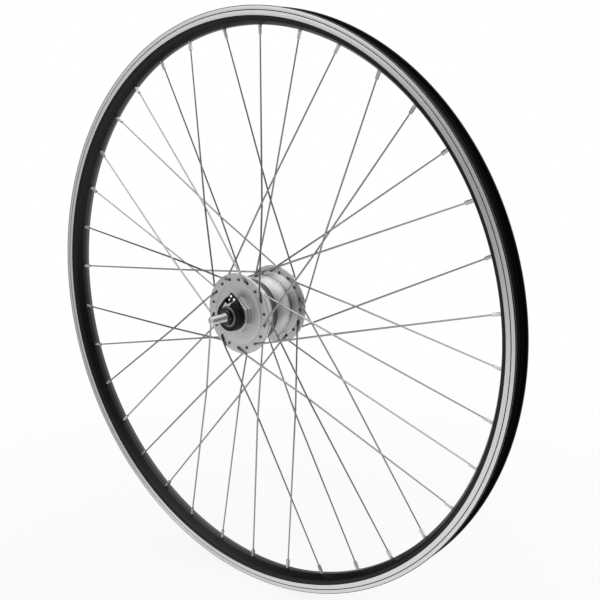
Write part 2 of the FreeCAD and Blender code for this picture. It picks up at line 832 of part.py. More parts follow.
def make_bobbin():
    """The plastic former of the coil, with a flange at each end."""
    half = stator_length / 2 - claw_plate_thickness - bobbin_gap
    bore = core_radius + bobbin_gap
    inner_half = half - bobbin_flange_thickness
    return turned([(radius, generator_centre + along) for radius, along in (
        (bore, -half), (bobbin_flange_radius, -half), (bobbin_flange_radius, -inner_half),
        (bore + bobbin_wall, -inner_half), (bore + bobbin_wall, inner_half),
        (bobbin_flange_radius, inner_half), (bobbin_flange_radius, half), (bore, half))])


def make_coil():
    half = stator_length / 2 - claw_plate_thickness - bobbin_gap - bobbin_flange_thickness - coil_gap
    inner = core_radius + bobbin_gap + bobbin_wall + coil_gap
    return ring(inner, coil_radius, generator_centre - half, generator_centre + half)


def make_yoke():
    half = magnet_length / 2
    return ring(yoke_outer_radius - yoke_thickness, yoke_outer_radius,
                generator_centre - half, generator_centre + half)


def make_magnets():
    """Curved magnets that line the yoke, with narrow joints between them."""
    half = magnet_length / 2
    sweep = 360 / magnet_count - magnet_joint_angle
    corners = [Vector(radius, generator_centre + along, 0) for radius, along in (
        (magnet_inner_radius, -half), (magnet_outer_radius, -half),
        (magnet_outer_radius, half), (magnet_inner_radius, half))]
    face = Part.Face(Part.makePolygon(corners + corners[:1]))
    magnets = []
    for i in range(magnet_count):
        magnet = oriented(face.revolve(Vector(0, 0, 0), Vector(0, 1, 0), sweep))
        magnet.rotate(Vector(0, 0, 0), Vector(0, 1, 0), 360 / magnet_count * i)
        magnets.append(magnet)
    return magnets


def make_clamp_nut(side):
    start = stator_length / 2 + side * generator_centre
    return make_nut(clamp_nut_across_flats, start, start + clamp_nut_thickness, side)


# Sub-parts by name


def build_nodes():
    """Every sub-part: its node name and its solid or solids."""
    nodes = {
        "axle": [make_axle()],
        "right_cone": [make_cone(RIGHT, right_cone_end_at)],
        "left_cone": [make_cone(LEFT, left_cone_end_at)],
        "right_washer": [ring(axle_bore_radius, spacer_radius, right_cone_end_at, housing_back_at, RIGHT)],
        "left_spacer": [ring(axle_bore_radius, spacer_radius, left_cone_end_at,
                             locknut_at - left_nut_thickness)],
        "right_locknut": [make_right_locknut()],
        "left_locknut": [make_nut(left_nut_across_flats, locknut_at - left_nut_thickness, locknut_at, LEFT)],
        "connector_housing": [make_connector_housing()],
        "connector_contact_live": [make_live_contact()],
        "connector_contact_earth": [make_earth_contact()],
        "lead_wire": [make_lead_wire()],
        "stator_core": [make_core()],
        "claw_plate_right": [make_claw_plate(RIGHT)],
        "claw_plate_left": [make_claw_plate(LEFT)],
        "coil_bobbin": [make_bobbin()],
        "coil_winding": [make_coil()],
        "stator_nuts": [make_clamp_nut(RIGHT), make_clamp_nut(LEFT)],
        "hub_shell": [make_hub_shell()],
        "end_cap": [make_end_cap()],
        "magnet_yoke": [make_yoke()],
        "ring_magnets": make_magnets(),
        "rim": [make_rim()],
        "rim_tape": [make_rim_tape()],
        "rim_joint_sleeve": [make_joint_sleeve()],
    }
    for side, name in ((RIGHT, "right"), (LEFT, "left")):
        nodes[name + "_cup"] = [make_cup(side)]
        nodes[name + "_seal"] = [make_seal(side)]
        nodes[name + "_balls"] = make_balls(side)
        nodes[name + "_ball_retainer"] = [make_retainer(side)]
        spokes = []
        for outside, face in ((True, "outer"), (False, "inner")):
            group = spoke_set(side, outside)
            nodes["spokes_" + name + "_" + face] = [make_spoke(spoke) for spoke in group]
            spokes += group
        nodes["nipples_" + name] = [make_nipple(spoke) for spoke in spokes]
    return nodes


def main():
    os.makedirs("parts", exist_ok=True)
    for name, solids in build_nodes().items():
        pieces = [solid for piece in solids for solid in piece.Solids]
        shape = pieces[0] if len(pieces) == 1 else Part.makeCompound(pieces)
        if not shape.isValid():
            raise ValueError("the shape of " + name + " is not valid")
        shape.exportStep("parts/" + name + ".step")
        print(name, len(pieces), round(sum(piece.Volume for piece in pieces), 1))


main()
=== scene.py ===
import math
from functools import partial

import bpy
import numpy as np
from bpy.props import FloatProperty, FloatVectorProperty, IntProperty, PointerProperty
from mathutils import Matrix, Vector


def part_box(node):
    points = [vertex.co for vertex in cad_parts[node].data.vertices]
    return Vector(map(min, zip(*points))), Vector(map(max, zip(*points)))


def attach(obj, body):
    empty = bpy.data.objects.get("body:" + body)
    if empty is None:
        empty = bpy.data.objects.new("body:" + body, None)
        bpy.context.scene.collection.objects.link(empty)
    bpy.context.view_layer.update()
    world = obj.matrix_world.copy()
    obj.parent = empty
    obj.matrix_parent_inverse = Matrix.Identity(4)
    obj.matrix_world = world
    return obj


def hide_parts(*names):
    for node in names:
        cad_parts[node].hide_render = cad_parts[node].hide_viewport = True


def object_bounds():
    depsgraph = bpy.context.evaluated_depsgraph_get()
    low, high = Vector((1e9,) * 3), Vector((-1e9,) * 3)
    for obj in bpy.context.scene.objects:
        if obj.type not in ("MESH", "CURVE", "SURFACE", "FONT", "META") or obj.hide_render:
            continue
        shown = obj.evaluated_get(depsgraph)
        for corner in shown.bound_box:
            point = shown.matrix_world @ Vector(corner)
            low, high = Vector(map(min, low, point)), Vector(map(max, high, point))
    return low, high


bl_info = {
    "name": "Dynamo Front Wheel",
    "version": (1, 0, 0),
    "blender": (4, 5, 0),
    "location": "3D View > Sidebar > Wheel",
    "description": "Builds a laced bicycle front wheel with a dynamo hub around its CAD frame",
    "category": "Object",
}

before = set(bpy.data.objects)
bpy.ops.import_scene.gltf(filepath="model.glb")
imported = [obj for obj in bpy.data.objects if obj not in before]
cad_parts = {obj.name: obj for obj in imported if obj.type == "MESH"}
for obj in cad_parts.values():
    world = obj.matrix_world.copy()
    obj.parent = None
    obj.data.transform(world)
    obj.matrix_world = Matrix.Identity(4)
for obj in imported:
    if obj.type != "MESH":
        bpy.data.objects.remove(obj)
cad_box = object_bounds()

# Lengths are metres. The axle lies along Y, the connector is on the -Y side, and Z is up.
MM = 0.001
TURN = 2 * math.pi
AXIS = (0.0, 1.0, 0.0)
RIGHT = -1
LEFT = 1
SIDES = ((RIGHT, "right"), (LEFT, "left"))

RIM_OUTER_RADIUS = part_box("rim")[1].x
RIM_HALF_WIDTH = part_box("rim")[1].y
RIM_DEPTH_MM = 18.6
RIGHT_FLANGE_AT = -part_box("hub_shell")[0].y
AXLE_HALF_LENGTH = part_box("axle")[1].y
AXLE_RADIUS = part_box("axle")[1].x
OVER_LOCKNUTS_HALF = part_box("left_locknut")[1].y


def length(name, millimetres, description):
    """A length that a user can change, written in millimetres."""
    return FloatProperty(name=name, description=description, default=millimetres * MM, min=0.0, unit="LENGTH")


def angle(name, degrees, description):
    return FloatProperty(name=name, description=description, default=math.radians(degrees), unit="ROTATION")


def number(name, value, description):
    return IntProperty(name=name, description=description, default=value, min=1)


def colour(name, red, green, blue, description):
    return FloatVectorProperty(name=name, description=description, default=(red, green, blue),
                               min=0.0, max=1.0, size=3, subtype="COLOR")


class RimSettings(bpy.types.PropertyGroup):
    depth: length("Depth", RIM_DEPTH_MM, "From the spoke bed to the top of the tyre walls")
    bead_seat_depth: length("Bead seat depth", 6.0, "From the top of the tyre walls to the bead seat")
    track_height: length("Brake track height", 10.0, "Machined band below the top of each side")
    lip_height: length("Lip height", 0.75, "Dark edge above the machined band")
    groove_depth: length("Wear groove depth", 0.25, "Depth of the groove that shows wear")
    groove_below_top: length("Wear groove place", 4.8, "From the top of the wall to the groove's middle")
    wall: length("Tyre wall thickness", 1.5, "Thickness of the two walls that hold the tyre")
    segments: number("Segments", 360, "Steps round the rim")
    black: colour("Anodising", 0.0035, 0.0035, 0.0037, "Colour of the anodised surface")
    track: colour("Brake track", 0.80, 0.80, 0.80, "Colour of the bare machined aluminium")


class SpokeSettings(bpy.types.PropertyGroup):
    count: number("Spokes", 36, "Spokes in the wheel")
    crossings: number("Crossings", 3, "Times that each spoke crosses its neighbours")
    first_hole: angle("First hole", 7.7, "Angle of the first spoke hole from +X towards +Z")
    radius: length("Wire radius", 1.0, "Half of the wire's diameter")
    hole_circle: length("Hole circle radius", 37.3, "Radius of the circle of spoke holes in a flange")
    flange_thickness: length("Flange thickness", 3.0, "Thickness of each flange at its holes")
    left_flange: length("Left flange", 31.7, "From the wheel's middle to the left flange's outer face")
    flange_radius: length("Flange radius", 43.6, "Radius of both flanges")
    stand_off: length("Stand-off", 1.1, "From a flange's face to the middle of a spoke on it")
    crossing_gap: length("Crossing gap", 0.15, "Gap between two spokes where they cross last")
    elbow: length("Elbow radius", 2.0, "Radius of the bend beside the flange")
    bend: length("Bend radius", 60.0, "Radius of the bends at the flange's edge and the last crossing")
    stagger: length("Nipple stagger", 0.73, "How far each nipple is to its own side of the rim's middle")
    end_in_nipple: length("Thread in nipple", 6.0, "Length of the spoke's end inside its nipple")
    steel: colour("Spoke steel", 0.36, 0.36, 0.355, "Colour of the stainless wire")


class NippleSettings(bpy.types.PropertyGroup):
    across: length("Across flats", 3.2, "Width of the square that a nipple key takes")
    length: length("Length", 9.5, "From the mouth to the rim's bed")
    head_radius: length("Head radius", 2.9, "Radius of the head inside the rim")
    bed_thickness: length("Bed thickness", 2.0, "Thickness of the rim where the nipple passes")
    plate: colour("Nickel plate", 0.70, 0.70, 0.695, "Colour of the plated brass")


class HubSettings(bpy.types.PropertyGroup):
    flange_edge: length("Flange edge", 1.1, "Radius of the flange's rounded edge")
    drum_radius: length("Drum radius", 33.7, "Radius of the drum that holds the magnets")
    drum_end: length("Drum end", 16.5, "From the wheel's middle to the drum's left end")
    drum_bore: length("Drum bore", 31.5, "Inner radius of the drum")
    neck_radius: length("Neck radius", 29.6, "Radius of the neck before the left flange")
    neck_flare: length("Neck flare", 5.4, "Size of the hollow between neck and left flange")
    boss_radius: length("Left boss radius", 18.0, "Radius of the left bearing's boss")
    seat_radius: length("Bearing seat radius", 13.45, "Radius of the seat for a bearing cup")
    spoke_hole: length("Spoke hole radius", 1.3, "Radius of each spoke hole")
    band_start: length("Band start", 4.0, "From the wheel's middle to the dark band, on the right")
    band_end: length("Band end", 12.0, "From the wheel's middle to the dark band's far edge")
    segments: number("Segments", 240, "Steps round the hub")
    metal: colour("Satin shell", 0.61, 0.61, 0.605, "Colour of the satin aluminium")
    band: colour("Band", 0.05, 0.05, 0.05, "Colour of the plain dark band")


class CapSettings(bpy.types.PropertyGroup):
    lip_radius: length("Lip radius", 33.0, "Radius of the cap's edge")
    boss_across: length("Boss across flats", 36.2, "Width of the eight-sided boss")
    plinth_across: length("Plinth across flats", 38.3, "Width of the low step round the boss")
    plinth: length("Plinth height", 2.0, "How far the low step rises from the cap's face")
    crown: length("Crown", 0.5, "How far the cap's face rises to the boss")
    corner_angle: angle("Boss corner", 25.0, "Angle of one corner of the boss")
    metal: colour("Satin cap", 0.60, 0.60, 0.595, "Colour of the turned cap")


class AxleSettings(bpy.types.PropertyGroup):
    pitch: length("Thread pitch", 1.0, "Step of the axle's thread")
    thread_depth: length("Thread depth", 0.45, "Depth of the axle's thread")
    end_radius: length("End radius", 4.5, "Radius of the axle's ends beyond the locknuts")
    chamfer: length("Chamfer", 0.8, "Bevel at each end of the axle")
    left_nut: length("Left nut", 17.0, "Width across the flats of the left locknut")
    right_nut: length("Right nut", 16.0, "Width across the flats of the right locknut")
    flange_radius: length("Nut flange radius", 11.3, "Radius of the right locknut's flange")
    flange: length("Nut flange", 1.5, "Thickness of the right locknut's flange")
    zinc: colour("Zinc plate", 0.75, 0.75, 0.74, "Colour of the plated steel")
    black: colour("Blackened steel", 0.075, 0.075, 0.077, "Colour of the right locknut")


class StageSettings(bpy.types.PropertyGroup):
    camera_place: FloatVectorProperty(name="Camera place", description="Where the photograph is taken from",
                                      default=(0.6653, -0.7205, 0.2385), size=3, unit="LENGTH")
    camera_heading: angle("Camera heading", 38.06, "Turn of the camera about Z from looking along +Y")
    camera_tilt: angle("Camera tilt", 77.666, "Tilt of the camera from looking straight down")
    lens: FloatProperty(name="Lens", description="Focal length on a 36 mm sensor", default=55.34, min=1.0)
    shift_x: FloatProperty(name="Shift X", description="Sideways shift of the picture", default=-0.0498)
    shift_y: FloatProperty(name="Shift Y", description="Upward shift of the picture", default=-0.0225)
    floor: FloatProperty(name="Floor brightness", description="Brightness of the pale floor",
                         default=0.86, min=0.0, max=1.0, subtype="FACTOR")


# Shapes worked out on grids


# A corner that bends less, in radians, stays as it is, and an arc takes up at most this part of a run.
LEAST_BEND = 1e-4
MOST_OF_RUN = 0.49


def rounded(rows, closed=False, steps=5):
    """A line of (radius, along) points with arcs at its corners, from a table.

    A row holds a radius and millimetres added to it, a place along the axle and millimetres added to
    it, and the corner's own radius in millimetres.
    """
    points = [(radius + out * MM, along + on * MM) for radius, out, along, on, _ in rows]
    return arcs_at(points, [row[-1] * MM for row in rows], closed, steps)


def arcs_at(corners, radii, closed=False, steps=6):
    """A line of corners with arcs at them.

    With unit directions d and e before and after a corner and t the angle between them, the arc of
    radius r starts r tan(t / 2) before the corner. It runs through start + r (sin(a) d + (1 - cos(a)) n)
    for a from 0 to t, where n is the unit vector square to d on the inside of the bend.
    """
    corners = np.asarray(corners, float)
    before = np.roll(corners, 1, axis=0)
    after = np.roll(corners, -1, axis=0)
    parts = []
    for i, (a, corner, b, radius) in enumerate(zip(before, corners, after, radii)):
        d = (corner - a) / np.linalg.norm(corner - a)
        e = (b - corner) / np.linalg.norm(b - corner)
        bend = math.acos(np.clip(d @ e, -1, 1))
        at_end = not closed and i in (0, len(corners) - 1)
        if at_end or radius == 0 or bend < LEAST_BEND:
            parts.append(corner[None])
            continue
        room = MOST_OF_RUN * min(np.linalg.norm(corner - a), np.linalg.norm(b - corner))
        radius = min(radius, room / math.tan(bend / 2))
        square = (e - d * math.cos(bend)) / math.sin(bend)
        sweep = np.linspace(0, bend, steps)[:, None]
        start = corner - d * radius * math.tan(bend / 2)
        parts.append(start + radius * (np.sin(sweep) * d + (1 - np.cos(sweep)) * square))
    return np.concatenate(parts)


def mirrored(half):
    """A closed outline from its half with positive along, whose two ends in the middle are left out."""
    half = half[1:-1]
    return np.concatenate([half, half[::-1] * [1, -1]])


def angles(count):
    """Angles in even steps round a circle."""
    return np.arange(count) * TURN / count


def turned_rows(radii, along, around):
    """Rows turned about the axle: x = r cos(a), y = along, z = r sin(a), with r for each row and angle."""
    along = np.broadcast_to(np.asarray(along, float)[:, None], radii.shape)
    return np.stack([radii * np.cos(around), along, radii * np.sin(around)], axis=-1)


def turned(profile, segments):
    """(radius, along) points turned about the axle."""
    return turned_rows(np.repeat(profile[:, :1], segments, axis=1), profile[:, 1], angles(segments))


def polygon_radius(around, sides, across_flats, first_corner):
    """Radius of a regular polygon: half its width over the cosine of the angle from a flat's middle."""
    flat = TURN / sides
    return across_flats / 2 / np.cos((around - first_corner) % flat - flat / 2)


def unit(vectors):
    """Each vector over its own length."""
    return vectors / np.linalg.norm(vectors, axis=-1, keepdims=True)


def circle(count, u, v):
    """Points cos(a) u + sin(a) v round a unit circle, for one pair of directions or for a row of pairs."""
    around = angles(count)[:, None]
    return np.cos(around) * u[..., None, :] + np.sin(around) * v[..., None, :]


def tube(path, radii, sides, reference, start=AXIS, straight=0):
    """A round skin along a path: path + radius (cos(a) u + sin(a) v).

    u is the reference direction made square to the path's direction t at each point, and v = t x u.
    The first points, as many as straight says, all face the direction start.
    """
    direction = unit(np.gradient(path, axis=0))
    direction[:straight] = start
    u = unit(reference - direction * (direction @ reference)[:, None])
    ring = circle(sides, u, np.cross(direction, u))
    return path[:, None] + np.broadcast_to(radii, len(path))[:, None, None] * ring


def polar(around, radius, along):
    """The point (r cos(a), along, r sin(a))."""
    return np.array([radius * math.cos(around), along, radius * math.sin(around)])


# Meshes and pieces


def grid_faces(rows, columns, loop_rows):
    """Four-sided faces between neighbouring rows of a grid whose columns close on themselves."""
    row = np.arange(rows if loop_rows else rows - 1)
    r, c = np.meshgrid(row, np.arange(columns), indexing="ij")
    next_r, next_c = (r + 1) % rows, (c + 1) % columns
    corners = [r * columns + c, r * columns + next_c, next_r * columns + next_c, next_r * columns + c]
    return np.stack(corners, axis=-1).reshape(-1, 4)


def volume(points, faces):
    """Signed volume: a sixth of the sum of a . (b x c) over triangles that fan out in each face."""
    a, rest = points[faces[:, 0]], points[faces[:, 1:]]
    return np.einsum("ij,inj->", a, np.cross(rest[:, :-1], rest[:, 1:])) / 6


class Skin:
    """Grids gathered for one mesh, each a closed shell that faces outwards unless it is a hollow."""

    def __init__(self):
        self.points = []
        self.faces = []
        self.count = 0

    def add(self, grid, loop_rows=False, hollow=False):
        """Adds a grid that closes round its rows, or else gets a flat end at its first and last row."""
        rows, columns = grid.shape[:2]
        points = grid.reshape(-1, 3)
        groups = [grid_faces(rows, columns, loop_rows)]
        if not loop_rows:
            end = np.arange(columns)
            groups.append(np.stack([end[::-1], (rows - 1) * columns + end]))
        inside_out = sum(volume(points - points.mean(axis=0), group) for group in groups) < 0
        step = -1 if inside_out != hollow else 1
        for group in groups:
            self.faces += (group[:, ::step] + self.count).tolist()
        self.points.append(points)
        self.count += len(points)
        return self

    def mesh(self, name, sharp=35):
        """The mesh, smooth except at edges that bend more than sharp degrees."""
        mesh = bpy.data.meshes.new(name)
        mesh.from_pydata(np.concatenate(self.points).tolist(), [], self.faces)
        mesh.shade_smooth()
        mesh.set_sharp_from_angle(angle=math.radians(sharp))
        return mesh


def add_object(name, data):
    thing = bpy.data.objects.new(name, data)
    bpy.context.scene.collection.objects.link(thing)
    return thing


def cut_holes(piece, drills, sharp):
    """Takes the drills' shells out of a piece, in its mesh."""
    cutter = add_object(piece.name + "_drill", drills.mesh(piece.name + "_drill"))
    modifier = piece.modifiers.new("holes", "BOOLEAN")
    modifier.operation = "DIFFERENCE"
    modifier.solver = "EXACT"
    modifier.object = cutter
    graph = bpy.context.evaluated_depsgraph_get()
    mesh = bpy.data.meshes.new_from_object(piece.evaluated_get(graph))
    piece.modifiers.remove(modifier)
    piece.data = mesh
    mesh.name = piece.name
    mesh.shade_smooth()
    mesh.set_sharp_from_angle(angle=math.radians(sharp))
    bpy.data.objects.remove(cutter)


def add_piece(name, skin, sharp, finish, body, slot, node, drills=None):
    """Adds a piece that rides on its body, takes a finish and stands for its CAD node; its slot is not used.
    """
    piece = add_object(name, skin.mesh(name, sharp))
    piece.data.materials.append(finish.material)
    if drills:
        cut_holes(piece, drills, sharp)
    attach(piece, body)
    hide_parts(node)


def dress(finish, *nodes):
    """Gives CAD nodes that stay as they are their finish."""
    for node in nodes:
        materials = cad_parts[node].data.materials
        materials.clear()
        materials.append(finish.material)


# Materials


def shade(base, factor):
    """A colour made darker or lighter."""
    return tuple(min(1.0, part * factor) for part in base)


class Nodes:
    """The shader nodes of a material or world, added by name."""

    def __init__(self, owner):
        owner.use_nodes = True
        self.tree = owner.node_tree

    def node(self, kind, inputs=None, **attributes):
        """Adds a node, and links or sets its inputs."""
        node = self.tree.nodes.new("ShaderNode" + kind)
        for key, value in attributes.items():
            setattr(node, key, value)
        for key, value in (inputs or {}).items():
            if isinstance(value, bpy.types.NodeSocket):
                self.tree.links.new(value, node.inputs[key])
            else:
                node.inputs[key].default_value = value
        return node

    def add(self, kind, inputs=None, output=0, **attributes):
        """Adds a node and gives one of its outputs."""
        return self.node(kind, inputs, **attributes).outputs[output]

    def math(self, operation, a, b=0.0):
        return self.add("Math", {0: a, 1: b}, operation=operation)

    def ramp(self, value, low=0.0, high=1.0, start=0.0, end=1.0, **attributes):
        """Low where the value is start, high where it is end, even between and held beyond."""
        inputs = {"Value": value, "From Min": start, "From Max": end, "To Min": low, "To Max": high}
        return self.add("MapRange", inputs, **attributes)


class Finish(Nodes):
    """A material with the Principled shader, whose inputs are set or fed by name."""

    def __init__(self, name, base, metallic, roughness, **plain):
        self.material = bpy.data.materials.new(name)
        super().__init__(self.material)
        self.surface = self.tree.nodes["Principled BSDF"]
        self.set("Base Color", (*base, 1.0))
        self.set("Metallic", metallic)
        self.set("Roughness", roughness)
        for socket, value in plain.items():
            self.set(socket.replace("_", " "), value)

    def set(self, socket, value):
        self.surface.inputs[socket].default_value = value

    def feed(self, socket, value):
        self.tree.links.new(value, self.surface.inputs[socket])

    def fed(self, socket):
        """What feeds an input so far."""
        return self.surface.inputs[socket].links[0].from_socket

    def place(self):
        """Object coordinates: metres in the wheel's own frame."""
        return self.add("TexCoord", output="Object")

    def lathe_place(self):
        """The distance from the axle and the distance along it, the same all round a turned surface."""
        x, y, z = self.node("SeparateXYZ", {0: self.place()}).outputs
        radius = self.math("SQRT", self.math("ADD", self.math("MULTIPLY", x, x), self.math("MULTIPLY", z, z)))
        return radius, y

    def between(self, value, low, high, soft):
        """1 between two values and 0 outside, with soft edges."""
        rise = self.ramp(value, start=low - soft, end=low + soft)
        fall = self.ramp(value, 1.0, 0.0, high - soft, high + soft)
        return self.math("MULTIPLY", rise, fall)

    def blend(self, factor, a, b):
        """Colour a where the factor is 0 and colour b where it is 1."""
        a, b = (part if isinstance(part, bpy.types.NodeSocket) else (*part, 1.0) for part in (a, b))
        return self.add("Mix", {0: factor, 6: a, 7: b}, output=2, data_type="RGBA")

    def noise(self, scale, detail=2.0, vector=None):
        """Cloudy noise with so many waves in a metre, on Object coordinates unless told otherwise."""
        vector = self.place() if vector is None else vector
        return self.add("TexNoise", {"Vector": vector, "Scale": scale, "Detail": detail})

    def lathe_lines(self, pitch):
        """Fine rings that a lathe leaves, from noise on the distance from and along the axle."""
        radius, along = self.lathe_place()
        return self.noise(1 / pitch, detail=3.0, vector=self.add("CombineXYZ", {"X": radius, "Y": along}))

    def tint(self, factor, a, b):
        self.feed("Base Color", self.blend(factor, a, b))

    def roughen(self, value, low, high):
        self.feed("Roughness", self.ramp(value, low, high))

    def bump(self, height, strength, distance):
        self.feed("Normal", self.add("Bump", {"Height": height, "Strength": strength, "Distance": distance}))


def turned_metal(name, base, roughness, pitch, depth):
    """Bare metal from a lathe: rings in its height and its shine, and faint cloudy tone."""
    finish = Finish(name, base, 1.0, roughness)
    lines = finish.lathe_lines(pitch)
    tone = finish.ramp(finish.noise(scale=60.0), low=0.88)
    finish.tint(tone, shade(base, 0.85), base)
    finish.roughen(lines, roughness * 0.94, roughness * 1.06)
    finish.bump(lines, strength=0.08, distance=depth)
    return finish


def rim_finish(rim):
    """Black anodising, with both machined tracks bare down to the wear groove round each."""
    finish = Finish("rim_anodised", rim.black, metallic=0.0, roughness=0.4, Specular_IOR_Level=0.28)
    radius, along = finish.lathe_place()
    inner_edge = RIM_OUTER_RADIUS - rim.track_height + 0.15 * MM
    track = finish.between(radius, inner_edge, RIM_OUTER_RADIUS - rim.lip_height, soft=0.05 * MM)
    side = finish.math("ABSOLUTE", along)
    face = finish.ramp(side, start=RIM_HALF_WIDTH - 0.16 * MM, end=RIM_HALF_WIDTH - 0.10 * MM)
    bare = finish.math("MULTIPLY", track, face)
    lines = finish.lathe_lines(pitch=0.12 * MM)
    metal = finish.blend(lines, shade(rim.track, 0.8), rim.track)
    black = finish.blend(finish.noise(scale=35.0), shade(rim.black, 0.8), shade(rim.black, 1.3))
    finish.tint(bare, black, metal)
    finish.feed("Metallic", bare)
    satin = finish.ramp(finish.noise(scale=900.0), low=0.34, high=0.46)
    shine = finish.ramp(lines, low=0.26, high=0.42)
    finish.feed("Roughness", finish.add("Mix", {0: bare, 2: satin, 3: shine}, data_type="FLOAT"))
    finish.bump(finish.math("MULTIPLY", lines, bare), strength=0.4, distance=0.02 * MM)
    return finish


def shell_finish(hub):
    """Satin aluminium with a plain dark band round the drum."""
    finish = turned_metal("hub_satin", hub.metal, roughness=0.5, pitch=0.30 * MM, depth=0.01 * MM)
    radius, along = finish.lathe_place()
    on_band = finish.between(along, -hub.band_end, -hub.band_start, soft=0.05 * MM)
    outside = finish.math("GREATER_THAN", radius, hub.drum_bore + 1.0 * MM)
    on_drum = finish.math("LESS_THAN", radius, hub.drum_radius + 0.3 * MM)
    band = finish.math("MULTIPLY", on_band, finish.math("MULTIPLY", outside, on_drum))
    finish.tint(band, finish.fed("Base Color"), hub.band)
    finish.feed("Metallic", finish.math("SUBTRACT", 1.0, band))
    return finish


def wire_finish(spokes):
    """Drawn stainless wire with faint marks along it, and painted shade where it is bent and headed at the
    flange.
    """
    finish = Finish("spoke_steel", spokes.steel, metallic=1.0, roughness=0.2)
    marks = finish.noise(scale=400.0, detail=3.0)
    finish.roughen(marks, low=0.16, high=0.24)
    steel = finish.blend(marks, shade(spokes.steel, 0.9), spokes.steel)
    radius, _ = finish.lathe_place()
    holes = spokes.hole_circle
    # Painted shade: near the flange's ring of holes the wire is darkened to 0.3 of its colour, round the
    # heads and elbows.
    painted_flange_shade = finish.between(radius, holes - 3 * MM, holes + 2.6 * MM, soft=0.7 * MM)
    finish.tint(painted_flange_shade, steel, shade(spokes.steel, 0.3))
    return finish


def plated(name, base, roughness):
    """Plated metal with a slightly uneven skin."""
    finish = Finish(name, base, 1.0, roughness)
    skin = finish.noise(scale=700.0, detail=3.0)
    finish.roughen(skin, roughness * 0.8, roughness * 1.3)
    finish.tint(skin, shade(base, 0.82), base)
    finish.bump(skin, strength=0.2, distance=0.01 * MM)
    return finish


def nut_finish(axle):
    """Blackened steel, with a painted highlight that makes the flange round the hexagon lighter."""
    finish = plated("nut_black", axle.black, roughness=0.38)
    radius, _ = finish.lathe_place()
    outer = axle.flange_radius
    # Painted highlight: the ring of the flange round the hexagon is made twice as light as the nut.
    edge = finish.between(radius, outer - 2.1 * MM, outer + MM, soft=0.15 * MM)
    finish.tint(edge, finish.fed("Base Color"), shade(axle.black, 2.0))
    return finish


def dull(name, base, roughness, grain, depth, shine=0.5):
    """Plastic, rubber or ceramic with a fine grain."""
    finish = Finish(name, base, 0.0, roughness, Specular_IOR_Level=shine)
    skin = finish.noise(grain, detail=4.0)
    finish.roughen(skin, roughness * 0.85, min(1.0, roughness * 1.15))
    finish.tint(skin, shade(base, 0.75), shade(base, 1.15))
    finish.bump(skin, strength=0.3, distance=depth)
    return finish


def wound(name, base, pitch):
    """Enamelled wire in turns side by side, as waves along the axle, with painted shade in the grooves
    between turns.
    """
    finish = Finish(name, base, metallic=0.85, roughness=0.28, Coat_Weight=0.5, Coat_Roughness=0.15)
    _, along = finish.lathe_place()
    wave = finish.math("SINE", finish.math("MULTIPLY", along, TURN / pitch))
    turns = finish.math("ABSOLUTE", wave)
    # Painted shade: the grooves between turns are darkened to 0.35 of the colour.
    finish.tint(turns, shade(base, 0.35), base)
    finish.bump(turns, strength=0.8, distance=pitch / 3)
    return finish


# Rim


# How far a nipple's drill and the valve's drill start below the bed, the valve hole's radius, and its
# place in steps of spokes from the first one.
DRILL_CLEARANCE = 2.0 * MM
VALVE_CLEARANCE = 3.0 * MM
VALVE_HOLE = 4.25 * MM
VALVE_STEP = 1.5
# A nipple hole's radius over the nipple's width across flats.
NIPPLE_HOLE = 0.78
DRILL_SIDES = 32


def rim_outline(rim):
    """Half of the rim's outer outline, from the middle of the bed to the middle of the tyre well."""
    top = RIM_OUTER_RADIUS
    side = RIM_HALF_WIDTH
    bed = top - rim.depth
    seat = top - rim.bead_seat_depth
    groove = top - rim.groove_below_top
    floor = side - rim.groove_depth
    inner = side - rim.wall
    track = top - rim.track_height
    return rounded([
        # Bed and shoulder
        (bed, 0, 0, 0, 0), (bed, 0, 0, 3.0, 7), (bed, 4.2, 0, 10.6, 4), (track, -0.4, side, -0.4, 0.3),
        # Brake track with its wear groove
        (track, 0, side, 0, 0.2), (groove, -0.5, side, 0, 0.1), (groove, -0.3, floor, 0, 0.1),
        (groove, 0.3, floor, 0, 0.1), (groove, 0.5, side, 0, 0.1), (top, 0, side, 0, 0.55),
        # Hook that holds the tyre's bead, the bead's seat and the well
        (top, 0, inner, -0.45, 0.45), (top, -1.6, inner, -0.45, 0.6), (top, -2.6, inner, 0, 0.8),
        (seat, 0, inner, 0, 0.6), (seat, 0, 0, 7.5, 0.7), (seat, -2.8, 0, 5.5, 1.2), (seat, -2.8, 0, 0, 0),
    ])


def cavity_outline(rim):
    """Half of the hollow between the rim's bed, its sides and its floor."""
    bed = RIM_OUTER_RADIUS - rim.depth
    seat = RIM_OUTER_RADIUS - rim.bead_seat_depth
    return rounded([
        (bed, 2.0, 0, 0, 0), (bed, 2.0, 0, 4.2, 0.8), (bed, 6.23, 0, 9.87, 0.8),
        (seat, -1.3, 0, 10.65, 0.5), (seat, -4.1, 0, 5.5, 0.6), (seat, -4.1, 0, 0, 0),
    ], steps=6)


def drill_along(start, outward, depth, radius):
    """A plain round drill as a skin."""
    ends = np.array([start, start + outward * depth * 0.5, start + outward * depth])
    return tube(ends, radius, DRILL_SIDES, unit(np.cross(outward, AXIS)))


